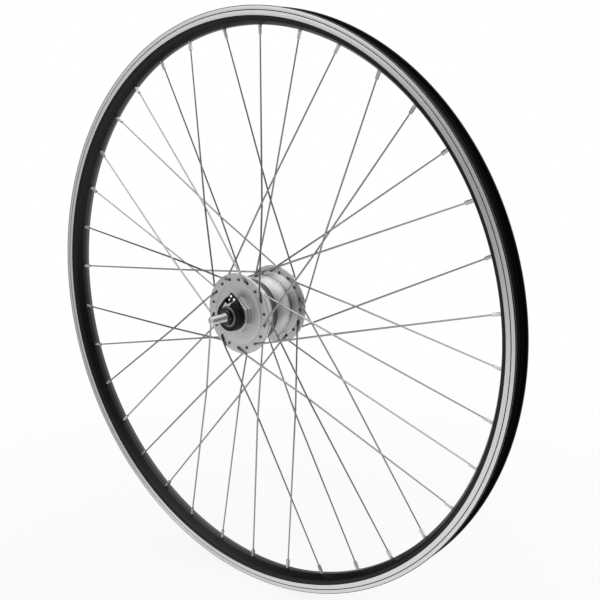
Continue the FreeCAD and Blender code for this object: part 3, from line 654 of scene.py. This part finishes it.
class WHEEL_OT_rim(bpy.types.Operator):
    """Add the double-wall rim, with its brake tracks, tyre channel, nipple holes and valve hole"""
    bl_idname = "wheel.rim"
    bl_label = "Rim"

    def execute(self, context):
        rim = context.scene.wheel_rim
        spokes = context.scene.wheel_spokes
        nipples = context.scene.wheel_nipples
        skin = Skin()
        skin.add(turned(mirrored(rim_outline(rim)), rim.segments), loop_rows=True)
        skin.add(turned(mirrored(cavity_outline(rim)), rim.segments), loop_rows=True, hollow=True)
        drills = Skin()
        depth = nipples.bed_thickness + 2 * DRILL_CLEARANCE
        radius = nipples.across * NIPPLE_HOLE
        for spoke in spokes_of(spokes, RIGHT) + spokes_of(spokes, LEFT):
            nipple, into = spoke_end(spokes, *spoke)
            drills.add(drill_along(nipple - into * DRILL_CLEARANCE, into, depth, radius))
        outward = polar(spokes.first_hole + VALVE_STEP * TURN / spokes.count, 1.0, 0.0)
        bed = RIM_OUTER_RADIUS - rim.depth
        drills.add(drill_along(outward * (bed - VALVE_CLEARANCE), outward, rim.depth, VALVE_HOLE))
        add_piece("rim_extrusion", skin, 50, rim_finish(rim), "wheel", "rim_metal", "rim", drills)
        return {"FINISHED"}


class WHEEL_OT_rim_fittings(bpy.types.Operator):
    """Finish the rim tape in the tyre well and the joint sleeve inside the rim"""
    bl_idname = "wheel.rim_fittings"
    bl_label = "Rim tape and sleeve"

    def execute(self, context):
        rubber = dull("tape_rubber", (0.03, 0.03, 0.03), roughness=0.75, grain=1500.0, depth=0.05 * MM)
        dress(rubber, "rim_tape")
        dress(plated("sleeve_aluminium", (0.6, 0.6, 0.61), roughness=0.4), "rim_joint_sleeve")
        return {"FINISHED"}


# Spokes and nipples


# Steps round a wire and round a nipple, and along each bend of a wire.
WIRE_SIDES = 14
WIRE_BEND_STEPS = 9
NIPPLE_SIDES = 40
# How far a spoke's head stands out from its face of the flange.
HEAD_HEIGHT = 1.0 * MM
# A wire's head as (distance from its top, radius): a low dome down to the wire.
HEAD = np.array([(0.0, 0.35), (0.06, 0.9), (0.2, 1.35), (0.45, 1.68), (0.72, 1.8), (0.88, 1.74),
                 (1.0, 1.45), (1.12, 1.12)]) * MM
# A wire's last point over its radius.
WIRE_TIP = 0.8
# Each nipple is turned by this share of a quarter turn from the one before it, so that no two look alike.
GOLDEN_SHARE = 0.381966
# How far past the rim's bed a nipple's head is seated.
HEAD_SEAT = 0.55 * MM


def spokes_of(spokes, side):
    """(side, hole, leaves from the outer face) for every spoke of one side."""
    return [(side, hole, hole % 2 == 1) for hole in range(spokes.count // 2)]


def flange_face(spokes, side):
    """From the wheel's middle to a flange's outer face."""
    return spokes.left_flange if side == LEFT else RIGHT_FLANGE_AT


def hole_angle(spokes, side, hole):
    """The left flange's holes stand half a step on from the right one's."""
    pitch = 2 * TURN / spokes.count
    return spokes.first_hole + pitch * (hole + (0.5 if side == LEFT else 0.0))


def spoke_corners(spokes, side, hole, outside):
    """The places where a spoke bends, from its head to its nipple.

    Outside spokes run round with the angles and inside ones against them. At the last crossing the
    outside spoke passes inside its neighbour, each half a wire and half a gap from the middle.
    """
    pitch = 2 * TURN / spokes.count
    start = hole_angle(spokes, side, hole)
    way = 1 if outside else -1
    turn = way * spokes.crossings * pitch
    cross = way * (spokes.crossings - 0.5) * pitch
    outer_face = flange_face(spokes, side)
    inner_face = outer_face - spokes.flange_thickness
    lines = {True: outer_face + spokes.stand_off, False: inner_face - spokes.stand_off}
    bed = RIM_OUTER_RADIUS - RIM_DEPTH_MM * MM
    hub_chord = spokes.hole_circle * math.sin(abs(cross))
    rim_chord = bed * math.sin(abs(turn - cross))
    part = hub_chord / (hub_chord + rim_chord)
    levels = [lines[key] * (1 - part) + spokes.stagger * part for key in (True, False)]
    apart = spokes.radius + spokes.crossing_gap / 2
    hub = polar(start, spokes.hole_circle, side * lines[outside])
    nipple = polar(start + turn, bed, side * spokes.stagger)
    crossing = hub * (1 - part) + nipple * part
    crossing[1] = side * (sum(levels) / 2 - way * apart)
    head_face = inner_face if outside else outer_face
    head = np.array([hub[0], side * (head_face - way * HEAD_HEIGHT), hub[2]])
    if not outside:
        return [head, hub, crossing, nipple]
    run = unit((nipple - hub) * [1, 0, 1])
    from_axis = abs(hub[0] * run[2] - hub[2] * run[0])
    edge = spokes.flange_radius + spokes.radius
    leaves_flange = hub + run * (math.sqrt(edge ** 2 - from_axis ** 2) - hub @ run)
    return [head, hub, leaves_flange, crossing, nipple]


def spoke_end(spokes, side, hole, outside):
    """The nipple's place on the rim's bed, and the unit vector along the spoke into the rim."""
    bend, nipple = spoke_corners(spokes, side, hole, outside)[-2:]
    return nipple, unit(nipple - bend)


def spoke_skin(spokes, nipples, side, hole, outside):
    """Wire with a domed head: a tube whose radius follows the head's profile along its first stretch."""
    corners = spoke_corners(spokes, side, hole, outside)
    nipple, into = spoke_end(spokes, side, hole, outside)
    points = corners[:-1] + [nipple - into * (nipples.length - spokes.end_in_nipple)]
    radii = [0, spokes.elbow] + [spokes.bend] * (len(points) - 3) + [0]
    wire = arcs_at(points, radii, steps=WIRE_BEND_STEPS)[1:]
    stub = unit(corners[1] - corners[0])
    line = np.concatenate([corners[0][None] + stub * HEAD[:, :1], wire])
    sizes = np.concatenate([HEAD[:, 1], np.full(len(wire), spokes.radius)])
    sizes[-1] = spokes.radius * WIRE_TIP
    reference = unit(np.cross(stub, unit(corners[2] - corners[1])))
    return tube(line, sizes, WIRE_SIDES, reference, stub, len(HEAD))


class WHEEL_OT_spokes(bpy.types.Operator):
    """Add the thirty-six spokes, laced over each other, one piece for each face of each flange"""
    bl_idname = "wheel.spokes"
    bl_label = "Spokes"

    def execute(self, context):
        spokes = context.scene.wheel_spokes
        nipples = context.scene.wheel_nipples
        steel = wire_finish(spokes)
        for side, side_name in SIDES:
            for outside, face_name in ((True, "outer"), (False, "inner")):
                skin = Skin()
                for spoke in spokes_of(spokes, side):
                    if spoke[2] == outside:
                        skin.add(spoke_skin(spokes, nipples, *spoke))
                place = side_name + "_" + face_name
                add_piece("wires_" + place, skin, 35, steel, "wheel", "spoke_steel", "spokes_" + place)
        return {"FINISHED"}


def nipple_skin(nipples, nipple, into, turn):
    """A square barrel that becomes round: r = a / (|cos|^n + |sin|^n)^(1/n), with n from 2 (round) to 9.

    Its rows run from inside the mouth, round the edge, along the barrel to the domed head.
    """
    across = nipples.across / 2
    head = nipples.head_radius
    mouth = -nipples.length
    seat = nipples.bed_thickness + HEAD_SEAT
    # (place into the rim, millimetres added, a width, the half width over it, squareness)
    table = ((mouth, 2.5, MM, 1.08, 2), (mouth, 0.3, MM, 1.08, 2), (mouth, 0, MM, 1.25, 2),
             (mouth, 0, MM, 1.40, 2.5), (mouth, 0.35, across, 1, 5), (mouth, 0.8, across, 1, 9),
             (0, -3.1, across, 1, 9), (0, -2.5, across, 1.08, 5), (0, -1.9, across, 1.22, 2.4),
             (0, -1.5, across, 1.25, 2), (seat, -0.5, across, 1.25, 2), (seat, 0, head, 0.9, 2),
             (seat, 0.25, head, 1, 2), (seat, 0.9, head, 0.97, 2), (seat, 1.4, head, 0.8, 2),
             (seat, 1.68, head, 0.45, 2))
    rows = np.array([(at + more * MM, width * part, power) for at, more, width, part, power in table])
    around = angles(NIPPLE_SIDES)
    power = rows[:, 2:]
    spread = (np.abs(np.cos(around)) ** power + np.abs(np.sin(around)) ** power) ** (1 / power)
    radii = rows[:, 1:2] / spread
    first = unit(np.cross(into, AXIS))
    second = np.cross(into, first)
    u = first * math.cos(turn) + second * math.sin(turn)
    centre = nipple + rows[:, :1] * into
    return centre[:, None] + radii[:, :, None] * circle(NIPPLE_SIDES, u, np.cross(into, u))


class WHEEL_OT_nipples(bpy.types.Operator):
    """Add the nipples that hold the spokes in the rim, each turned as its spoke's tension left it"""
    bl_idname = "wheel.nipples"
    bl_label = "Nipples"

    def execute(self, context):
        spokes = context.scene.wheel_spokes
        nipples = context.scene.wheel_nipples
        plate = plated("nipple_nickel", nipples.plate, roughness=0.45)
        for side, side_name in SIDES:
            skin = Skin()
            for spoke in spokes_of(spokes, side):
                turn = (spoke[1] * GOLDEN_SHARE % 1.0) * TURN / 4
                skin.add(nipple_skin(nipples, *spoke_end(spokes, *spoke), turn))
            name = "square_nipples_" + side_name
            add_piece(name, skin, 35, plate, "wheel", "nipple_brass", "nipples_" + side_name)
        return {"FINISHED"}


# Hub


# A spoke hole's sink, how far its drill stands out past the flange, and where that is as wide as the sink.
SINK = 0.4 * MM
DRILL_PAST = 1.0 * MM
SINK_EDGE = 0.02 * MM
SINK_SIDES = 28
# Radius of the openings round the axle.
AXLE_OPENING = 9.6 * MM
# How far the cap's lip stands out past the flange, and the gap between its plug and the drum.
LIP_HEIGHT = 0.6 * MM
PLUG_GAP = 0.05 * MM
# The right balls' place along the axle, and how much nearer to the middle the cap ends.
BALLS_AT_MM = 27.8
CAP_PAST_BALLS_MM = 4.4


def shell_outline(hub, spokes):
    """The shell's closed outline, with a shallow turned stretch and a band cut into the drum."""
    right = -RIGHT_FLANGE_AT
    right_inner = right + spokes.flange_thickness
    left = spokes.left_flange
    left_inner = left - spokes.flange_thickness
    flange = spokes.flange_radius
    edge = hub.flange_edge / MM
    drum, drum_end, bore = hub.drum_radius, hub.drum_end, hub.drum_bore
    neck = hub.neck_radius
    flare = hub.neck_flare
    boss = hub.boss_radius
    seat = hub.seat_radius
    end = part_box("hub_shell")[1].y
    return rounded([
        # Right flange
        (bore, 0, right, 0, 0.15), (flange, 0, right, 0, edge), (flange, 0, right_inner, 0, edge),
        (drum, 1.4, right_inner, 0, 0.4), (drum, 0, right_inner, 1.4, 1.2),
        # Drum with its turned stretch and band
        (drum, 0, 0, -21.0, 0.1), (drum, -0.25, 0, -20.7, 0.1), (drum, -0.25, 0, -13.4, 0.1),
        (drum, 0, 0, -13.1, 0.1), (drum, 0, -hub.band_end, -0.3, 0), (drum, -0.15, -hub.band_end, -0.1, 0),
        (drum, -0.15, -hub.band_start, 0.1, 0), (drum, 0, -hub.band_start, 0.3, 0),
        (drum, 0, drum_end, 0, 1.0),
        # Neck, left flange and boss
        (neck, 0, drum_end, 2.6, 2.5), (neck, 0, left_inner - flare, 0, 6.5),
        (neck + flare, 0, left_inner, 0, 2.5), (flange, 0, left_inner, 0, edge), (flange, 0, left, 0, edge),
        (boss, 3.6, left, 0, 1.5), (boss, 0, left, 1.8, 1.0), (boss, 0, end, 0, 0.8),
        # Inside
        (seat, 0, end, 0, 0.3), (seat, 0, 0, 26.6, 0), (AXLE_OPENING, 0, 0, 26.6, 0),
        (AXLE_OPENING, 0, left_inner, -3.2, 0), (0, 27.0, left_inner, -3.2, 1.0),
        (0, 27.0, drum_end, 0.4, 0.5), (bore, 0, drum_end, -2.2, 0.5),
    ], closed=True)


def hole_drill(around, hub, spokes, side):
    """A spoke hole's drill: a straight shank with a small countersink at each face."""
    outer = flange_face(spokes, side)
    inner = outer - spokes.flange_thickness
    along = np.array([outer + DRILL_PAST, outer + SINK_EDGE, outer - SINK, inner + SINK,
                      inner - SINK_EDGE, inner - DRILL_PAST]) * side
    radii = np.array([SINK, SINK, 0.0, 0.0, SINK, SINK])[:, None] + hub.spoke_hole
    grid = turned_rows(np.repeat(radii, SINK_SIDES, axis=1), along, angles(SINK_SIDES))
    return grid + polar(around, spokes.hole_circle, 0.0)


class WHEEL_OT_hub_shell(bpy.types.Operator):
    """Add the satin hub shell with its two drilled flanges and plain band"""
    bl_idname = "wheel.hub_shell"
    bl_label = "Hub shell"

    def execute(self, context):
        hub = context.scene.wheel_hub
        spokes = context.scene.wheel_spokes
        skin = Skin().add(turned(shell_outline(hub, spokes), hub.segments), loop_rows=True)
        drills = Skin()
        for side, hole, _ in spokes_of(spokes, RIGHT) + spokes_of(spokes, LEFT):
            drills.add(hole_drill(hole_angle(spokes, side, hole), hub, spokes, side))
        add_piece("satin_shell", skin, 40, shell_finish(hub), "wheel", "hub_metal", "hub_shell", drills)
        return {"FINISHED"}


def cap_rows(cap, hub):
    """(radius or half width, place, sides) rows of the cap, 0 sides where it is turned, with soft edges."""
    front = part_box("end_cap")[0].y
    face = -RIGHT_FLANGE_AT
    lip = -(RIGHT_FLANGE_AT + LIP_HEIGHT)
    crown = lip - cap.crown
    plinth = crown - cap.plinth
    inner = -(BALLS_AT_MM - CAP_PAST_BALLS_MM) * MM
    boss = cap.boss_across / 2
    step = cap.plinth_across / 2
    seat = hub.seat_radius
    edge = cap.lip_radius
    plug = hub.drum_bore - PLUG_GAP
    # (radius or half width, millimetres added, place, millimetres added, sides)
    table = (
        (seat, 0, inner, 0, 0), (seat, 0, front, 0.3, 0), (seat, 0.3, front, 0, 0), (boss, -1.5, front, 0, 8),
        (boss, -0.9, front, 0.15, 8), (boss, -0.15, front, 0.75, 8), (boss, 0, front, 1.0, 8),
        (boss, 0, plinth, 0, 8), (step, -0.35, plinth, 0, 8), (step, 0, plinth, 0.3, 8),
        (step, 0, crown, 0.1, 8), (edge, -6, crown, 0.3, 0), (edge, -0.5, lip, 0, 0),
        (edge, -0.12, lip, 0.1, 0), (edge, 0, lip, 0.25, 0), (edge, 0, face, -0.05, 0),
        (plug, 0, face, -0.05, 0), (plug, 0, face, 4, 0), (0, 16.2, face, 4, 0), (0, 16.2, inner, 1.5, 0),
        (AXLE_OPENING, 0, inner, 1.5, 0), (AXLE_OPENING, 0, inner, 0, 0),
    )
    return [(size + out * MM, place + on * MM, sides) for size, out, place, on, sides in table]


class WHEEL_OT_end_cap(bpy.types.Operator):
    """Add the cap that closes the drum, with its stepped eight-sided boss"""
    bl_idname = "wheel.end_cap"
    bl_label = "End cap"

    def execute(self, context):
        cap = context.scene.wheel_cap
        hub = context.scene.wheel_hub
        around = cap.corner_angle + angles(hub.segments)
        rows = cap_rows(cap, hub)
        radii = np.array([polygon_radius(around, sides, 2 * size, cap.corner_angle) if sides
                          else np.full(len(around), size) for size, _, sides in rows])
        skin = Skin().add(turned_rows(radii, [place for _, place, _ in rows], around), loop_rows=True)
        finish = turned_metal("cap_satin", cap.metal, roughness=0.5, pitch=0.2 * MM, depth=0.015 * MM)
        add_piece("stepped_cap", skin, 22, finish, "wheel", "cap_metal", "end_cap")
        return {"FINISHED"}


# Axle and nuts


ROD_SIDES = 48
NUT_SIDES = 144
STEPS_PER_THREAD = 12
SHANK_ROWS = 8
# Below 1, a thread's crests are wider than its roots.
TOOTH_POWER = 0.8
# A lathe's centre in each end face of the axle: its radii and depths, from its point outwards.
CENTRE_RADII = np.array([0.1, 0.9, 1.3]) * MM
CENTRE_DEPTHS = np.array([1.6, 1.2, 0.0]) * MM
NUT_BORE_GAP = 0.05 * MM
NUT_BEVEL = 0.4 * MM
NUT_CHAMFER = math.radians(30)
# Depths of the rows that follow a nut's chamfer, and the chamfer's width at the face over the nut's own.
NUT_STEPS = np.array([0.0, 0.12, 0.25, 0.4, 0.6, 0.85, 1.15]) * MM
NUT_FACE = 0.985


def threaded_rod(axle):
    """Axle skin: a plain shank in the hub, and a thread on each of the thinner ends.

    On a thread the radius is R - depth (1 - |2 f - 1| ^ power), where f is the fraction of
    place / pitch - angle / turn, and at most the cone's of the chamfered end. A lathe's centre is drilled
    into each end face.
    """
    half = AXLE_HALF_LENGTH
    start = OVER_LOCKNUTS_HALF
    ends = np.arange(start, half, axle.pitch / STEPS_PER_THREAD)
    shank = np.linspace(-start, start, SHANK_ROWS)
    place = np.concatenate([[-half], -ends[::-1], shank, ends, [half]])
    around = angles(ROD_SIDES)
    phase = (place[:, None] / axle.pitch - around / TURN) % 1.0
    tooth = np.abs(2 * phase - 1) ** TOOTH_POWER
    radii = axle.end_radius - axle.thread_depth * (1 - tooth)
    taper = axle.end_radius - axle.chamfer + (half - np.abs(place))[:, None]
    radii = np.minimum(radii, taper)
    first = 1 + len(ends)
    radii[first:first + len(shank)] = AXLE_RADIUS
    centre = np.repeat(CENTRE_RADII[:, None], ROD_SIDES, axis=1)
    radii = np.concatenate([centre, radii, centre[::-1]])
    place = np.concatenate([CENTRE_DEPTHS - half, place, half - CENTRE_DEPTHS[::-1]])
    return turned_rows(radii, place, around)


def nut_skin(across_flats, bore, start, end, side):
    """A hexagon nut: at each row the radius is the smaller of the hexagon's and the chamfer cone's."""
    around = angles(NUT_SIDES)
    flat = polygon_radius(around, 6, across_flats, 0.0)
    from_face = np.concatenate([NUT_STEPS, NUT_STEPS[::-1]])
    cone = across_flats / 2 * NUT_FACE + from_face / math.tan(NUT_CHAMFER)
    inner = np.repeat([[bore], [bore], [bore + NUT_BEVEL]], NUT_SIDES, axis=1)
    radii = np.concatenate([inner, np.minimum(flat, cone[:, None]), inner[2:]])
    places = np.concatenate([[end - NUT_BEVEL, start + NUT_BEVEL, start],
                             start + NUT_STEPS, end - NUT_STEPS[::-1], [end]])
    return turned_rows(radii, side * places, around)


class WHEEL_OT_axle(bpy.types.Operator):
    """Add the threaded axle with its locknuts, spacer and washer"""
    bl_idname = "wheel.axle"
    bl_label = "Axle and nuts"

    def execute(self, context):
        axle = context.scene.wheel_axle
        add = partial(add_piece, body="axle_assembly")
        zinc = plated("axle_zinc", axle.zinc, roughness=0.42)
        black = nut_finish(axle)
        add("threaded_axle", Skin().add(threaded_rod(axle)), 60, zinc, slot="axle_steel", node="axle")
        bore = AXLE_RADIUS + NUT_BORE_GAP
        low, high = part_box("left_locknut")
        left = Skin().add(nut_skin(axle.left_nut, bore, low.y, high.y, LEFT), loop_rows=True)
        add("left_hexagon_nut", left, 25, zinc, slot="spacer_steel", node="left_locknut")
        low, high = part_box("right_locknut")
        edge, back, front = axle.flange_radius, high.y, high.y - axle.flange
        right = Skin().add(nut_skin(axle.right_nut, bore, -front, -low.y, RIGHT), loop_rows=True)
        middle = back - axle.flange * 0.5
        ring = rounded([(bore, 0, back, 0, 0), (edge, 0, back, 0, 0.2), (edge, 0, middle, 0, 0.2),
                        (edge, -2.2, front, 0, 0.3), (bore, 0, front, 0, 0)], closed=True, steps=6)
        right.add(turned(ring, NUT_SIDES), loop_rows=True)
        add("right_flanged_nut", right, 25, black, slot="locknut_steel", node="right_locknut")
        dress(zinc, "left_spacer", "right_washer")
        return {"FINISHED"}


# Connector


class WHEEL_OT_connector(bpy.types.Operator):
    """Finish the connector housing, its contacts and the coil's lead"""
    bl_idname = "wheel.connector"
    bl_label = "Connector"

    def execute(self, context):
        nylon = dull("connector_nylon", (0.006, 0.006, 0.006), roughness=0.42, grain=1800.0, depth=0.02 * MM,
                     shine=0.2)
        dress(nylon, "connector_housing")
        tin = plated("contact_tin", (0.75, 0.75, 0.74), roughness=0.3)
        dress(tin, "connector_contact_live", "connector_contact_earth")
        dress(wound("lead_enamel", (0.55, 0.2, 0.1), pitch=0.6 * MM), "lead_wire")
        return {"FINISHED"}


# Inside the hub


class WHEEL_OT_bearings(bpy.types.Operator):
    """Finish the cones, cups, balls, retainers and seals"""
    bl_idname = "wheel.bearings"
    bl_label = "Bearings"

    def execute(self, context):
        race = turned_metal("race_steel", (0.5, 0.5, 0.5), roughness=0.2, pitch=0.25 * MM, depth=0.01 * MM)
        ball = plated("ball_steel", (0.75, 0.76, 0.77), roughness=0.06)
        cage = plated("cage_steel", (0.55, 0.55, 0.54), roughness=0.3)
        seal = dull("seal_rubber", (0.02, 0.02, 0.02), roughness=0.6, grain=1200.0, depth=0.03 * MM)
        for _, side in SIDES:
            dress(race, side + "_cone", side + "_cup")
            dress(ball, side + "_balls")
            dress(cage, side + "_ball_retainer")
            dress(seal, side + "_seal")
        return {"FINISHED"}


class WHEEL_OT_generator(bpy.types.Operator):
    """Finish the generator: claw plates, core, coil, bobbin, magnets and yoke"""
    bl_idname = "wheel.generator"
    bl_label = "Generator"

    def execute(self, context):
        iron = plated("claw_iron", (0.35, 0.35, 0.36), roughness=0.42)
        dress(iron, "claw_plate_right", "claw_plate_left", "stator_core", "magnet_yoke")
        dress(plated("stator_nut_zinc", (0.55, 0.55, 0.54), roughness=0.3), "stator_nuts")
        nylon = dull("bobbin_nylon", (0.78, 0.75, 0.68), roughness=0.45, grain=900.0, depth=0.03 * MM)
        dress(nylon, "coil_bobbin")
        dress(wound("coil_copper", (0.62, 0.24, 0.10), pitch=0.6 * MM), "coil_winding")
        ceramic = dull("magnet_ceramic", (0.10, 0.10, 0.105), roughness=0.5, grain=1600.0, depth=0.03 * MM)
        dress(ceramic, "ring_magnets")
        return {"FINISHED"}


# Stage


# What shiny surfaces see from the wheel: (direction, cosine where it starts, cosine where it is full,
# brightness), where a brightness under 0 darkens what is there.
STUDIO = (
    ((-0.05, 0.71, 0.70), 0.65, 0.96, 0.95),
    ((-0.45, 0.87, -0.20), 0.60, 0.97, 1.0),
    ((0.62, 0.70, -0.25), 0.55, 0.95, 0.7),
    ((0.10, -0.59, -0.80), 0.40, 0.95, 0.95),
    ((-0.62, -0.76, -0.10), 0.75, 0.97, 0.75),
    ((-0.72, -0.35, -0.60), 0.80, 0.97, 0.3),
    ((-0.17, -0.70, 0.69), 0.70, 0.95, 0.85),
    ((-0.47, -0.87, -0.16), 0.95, 0.99, -0.9),
    ((-0.66, -0.74, 0.10), 0.96, 0.99, 0.4),
    ((0.0, 0.0, 1.0), 0.60, 0.95, 0.65),
    ((0.25, 0.71, -0.66), 0.70, 0.95, 0.7),
    ((0.55, 0.71, 0.40), 0.75, 0.97, 0.65),
    ((0.62, -0.70, 0.35), 0.70, 0.95, 0.22),
    ((0.96, 0.10, -0.10), 0.75, 0.95, -0.6),
    ((-0.98, -0.05, 0.0), 0.80, 0.97, -0.5),
)
WHITE = (1.0, 1.0, 1.0, 1.0)
# Brightness of the surroundings as light on dull surfaces.
FILL = 0.55
# The floor glows by this much at the nearer distance from the wheel's centre, and fully at the further one.
GLOW_NEAR = 0.88
GLOW_FROM = 0.3
GLOW_FULL = 0.9
FLOOR_HALF_SIZE = 12.0
FLOOR_GAP = 0.2 * MM
SENSOR_WIDTH = 36.0
# Each lamp's place, width and power.
LAMPS = {
    "key_lamp": ((-0.75, -1.8, 1.6), 1.4, 10.0),
    "back_lamp": ((-0.3, 1.7, 1.7), 2.0, 10.0),
}


def studio_light(nodes, direction):
    """Brightness in a direction d: the sum of amount * smooth(d . c) over all centres c, and at least 0."""
    total = 0.0
    for centre, start, full, amount in STUDIO:
        near = nodes.add("VectorMath", {0: direction, 1: centre}, "Value", operation="DOT_PRODUCT")
        part = nodes.ramp(near, 0.0, amount, start, full, interpolation_type="SMOOTHSTEP")
        total = nodes.math("ADD", total, part)
    return nodes.math("MAXIMUM", total, 0.0)


def floor_finish(stage):
    """Pale floor that goes over into the white surroundings, and shows the studio to shiny surfaces."""
    material = bpy.data.materials.new("studio_floor")
    nodes = Nodes(material)
    nodes.tree.nodes.clear()
    place = nodes.add("TexCoord", output="Object")
    direction = nodes.add("VectorMath", {0: place}, operation="NORMALIZE")
    distance = nodes.add("VectorMath", {0: place}, "Value", operation="LENGTH")
    fade = nodes.ramp(distance, GLOW_NEAR, 1.0, GLOW_FROM, GLOW_FULL)
    rays = nodes.node("LightPath").outputs
    glow = nodes.math("MAXIMUM", nodes.math("MULTIPLY", fade, rays["Is Camera Ray"]), rays["Is Glossy Ray"])
    inputs = {0: rays["Is Glossy Ray"], 2: 1.0, 3: studio_light(nodes, direction)}
    strength = nodes.add("Mix", inputs, data_type="FLOAT")
    pale = nodes.add("BsdfDiffuse", {"Color": (stage.floor,) * 3 + (1.0,)})
    white = nodes.add("Emission", {"Color": WHITE, "Strength": strength})
    nodes.node("OutputMaterial", {0: nodes.add("MixShader", {0: glow, 1: pale, 2: white})})
    return material


def light_world():
    """White where the camera looks, a calm pale grey as light, and the studio for shiny surfaces."""
    world = bpy.data.worlds.new("studio")
    nodes = Nodes(world)
    nodes.tree.nodes.clear()
    seen = studio_light(nodes, nodes.add("TexCoord", output="Generated"))
    rays = nodes.node("LightPath").outputs
    fill, gloss, white = (nodes.add("Background", {"Color": WHITE, "Strength": strength})
                          for strength in (FILL, seen, 1.0))
    plain = nodes.math("MAXIMUM", rays["Is Camera Ray"], rays["Is Transmission Ray"])
    shiny = nodes.add("MixShader", {0: rays["Is Glossy Ray"], 1: fill, 2: gloss})
    nodes.node("OutputWorld", {0: nodes.add("MixShader", {0: plain, 1: shiny, 2: white})})
    bpy.context.scene.world = world


def add_lamp(name, place, size, power):
    """A square soft lamp that looks at the wheel's centre."""
    data = bpy.data.lights.new(name, "AREA")
    data.shape = "SQUARE"
    data.size = size
    data.energy = power
    lamp = add_object(name, data)
    lamp.location = place
    x, y, z = place
    lamp.rotation_euler = (math.atan2(math.hypot(x, y), z), 0.0, math.atan2(x, -y))


class WHEEL_OT_stage(bpy.types.Operator):
    """Add the floor, the lamps, the surroundings and the camera at the photograph's place"""
    bl_idname = "wheel.stage"
    bl_label = "Stage"

    def execute(self, context):
        stage = context.scene.wheel_stage
        size = FLOOR_HALF_SIZE
        level = cad_box[0].z - FLOOR_GAP
        mesh = bpy.data.meshes.new("floor")
        corners = [(x * size, y * size, level) for x, y in ((-1, -1), (1, -1), (1, 1), (-1, 1))]
        mesh.from_pydata(corners, [], [(0, 1, 2, 3)])
        mesh.materials.append(floor_finish(stage))
        add_object("floor", mesh)
        light_world()
        for name, values in LAMPS.items():
            add_lamp(name, *values)
        lens = bpy.data.cameras.new("camera")
        lens.sensor_width = SENSOR_WIDTH
        lens.lens = stage.lens
        lens.shift_x = stage.shift_x
        lens.shift_y = stage.shift_y
        camera = add_object("camera", lens)
        camera.location = stage.camera_place
        camera.rotation_euler = (stage.camera_tilt, 0.0, stage.camera_heading)
        context.scene.camera = camera
        context.scene.view_settings.view_transform = "Standard"
        return {"FINISHED"}


class WHEEL_PT_panel(bpy.types.Panel):
    """Lists the wheel's pieces in the order that they are added"""
    bl_idname = "WHEEL_PT_panel"
    bl_label = "Dynamo Front Wheel"
    bl_space_type = "VIEW_3D"
    bl_region_type = "UI"
    bl_category = "Wheel"

    def draw(self, context):
        for operator in OPERATORS:
            self.layout.operator(operator.bl_idname)


GROUPS = {
    "wheel_rim": RimSettings,
    "wheel_spokes": SpokeSettings,
    "wheel_nipples": NippleSettings,
    "wheel_hub": HubSettings,
    "wheel_cap": CapSettings,
    "wheel_axle": AxleSettings,
    "wheel_stage": StageSettings,
}
OPERATORS = (
    WHEEL_OT_rim,
    WHEEL_OT_rim_fittings,
    WHEEL_OT_spokes,
    WHEEL_OT_nipples,
    WHEEL_OT_hub_shell,
    WHEEL_OT_end_cap,
    WHEEL_OT_axle,
    WHEEL_OT_connector,
    WHEEL_OT_bearings,
    WHEEL_OT_generator,
    WHEEL_OT_stage,
)


def register():
    for group in GROUPS.values():
        bpy.utils.register_class(group)
    for name, group in GROUPS.items():
        setattr(bpy.types.Scene, name, PointerProperty(type=group))
    for operator in OPERATORS + (WHEEL_PT_panel,):
        bpy.utils.register_class(operator)


def unregister():
    for operator in (WHEEL_PT_panel,) + OPERATORS[::-1]:
        bpy.utils.unregister_class(operator)
    for name, group in GROUPS.items():
        delattr(bpy.types.Scene, name)
        bpy.utils.unregister_class(group)


def main():
    register()
    for operator in OPERATORS:
        group, name = operator.bl_idname.split(".")
        getattr(getattr(bpy.ops, group), name)()


if __name__ == "__main__":
    main()
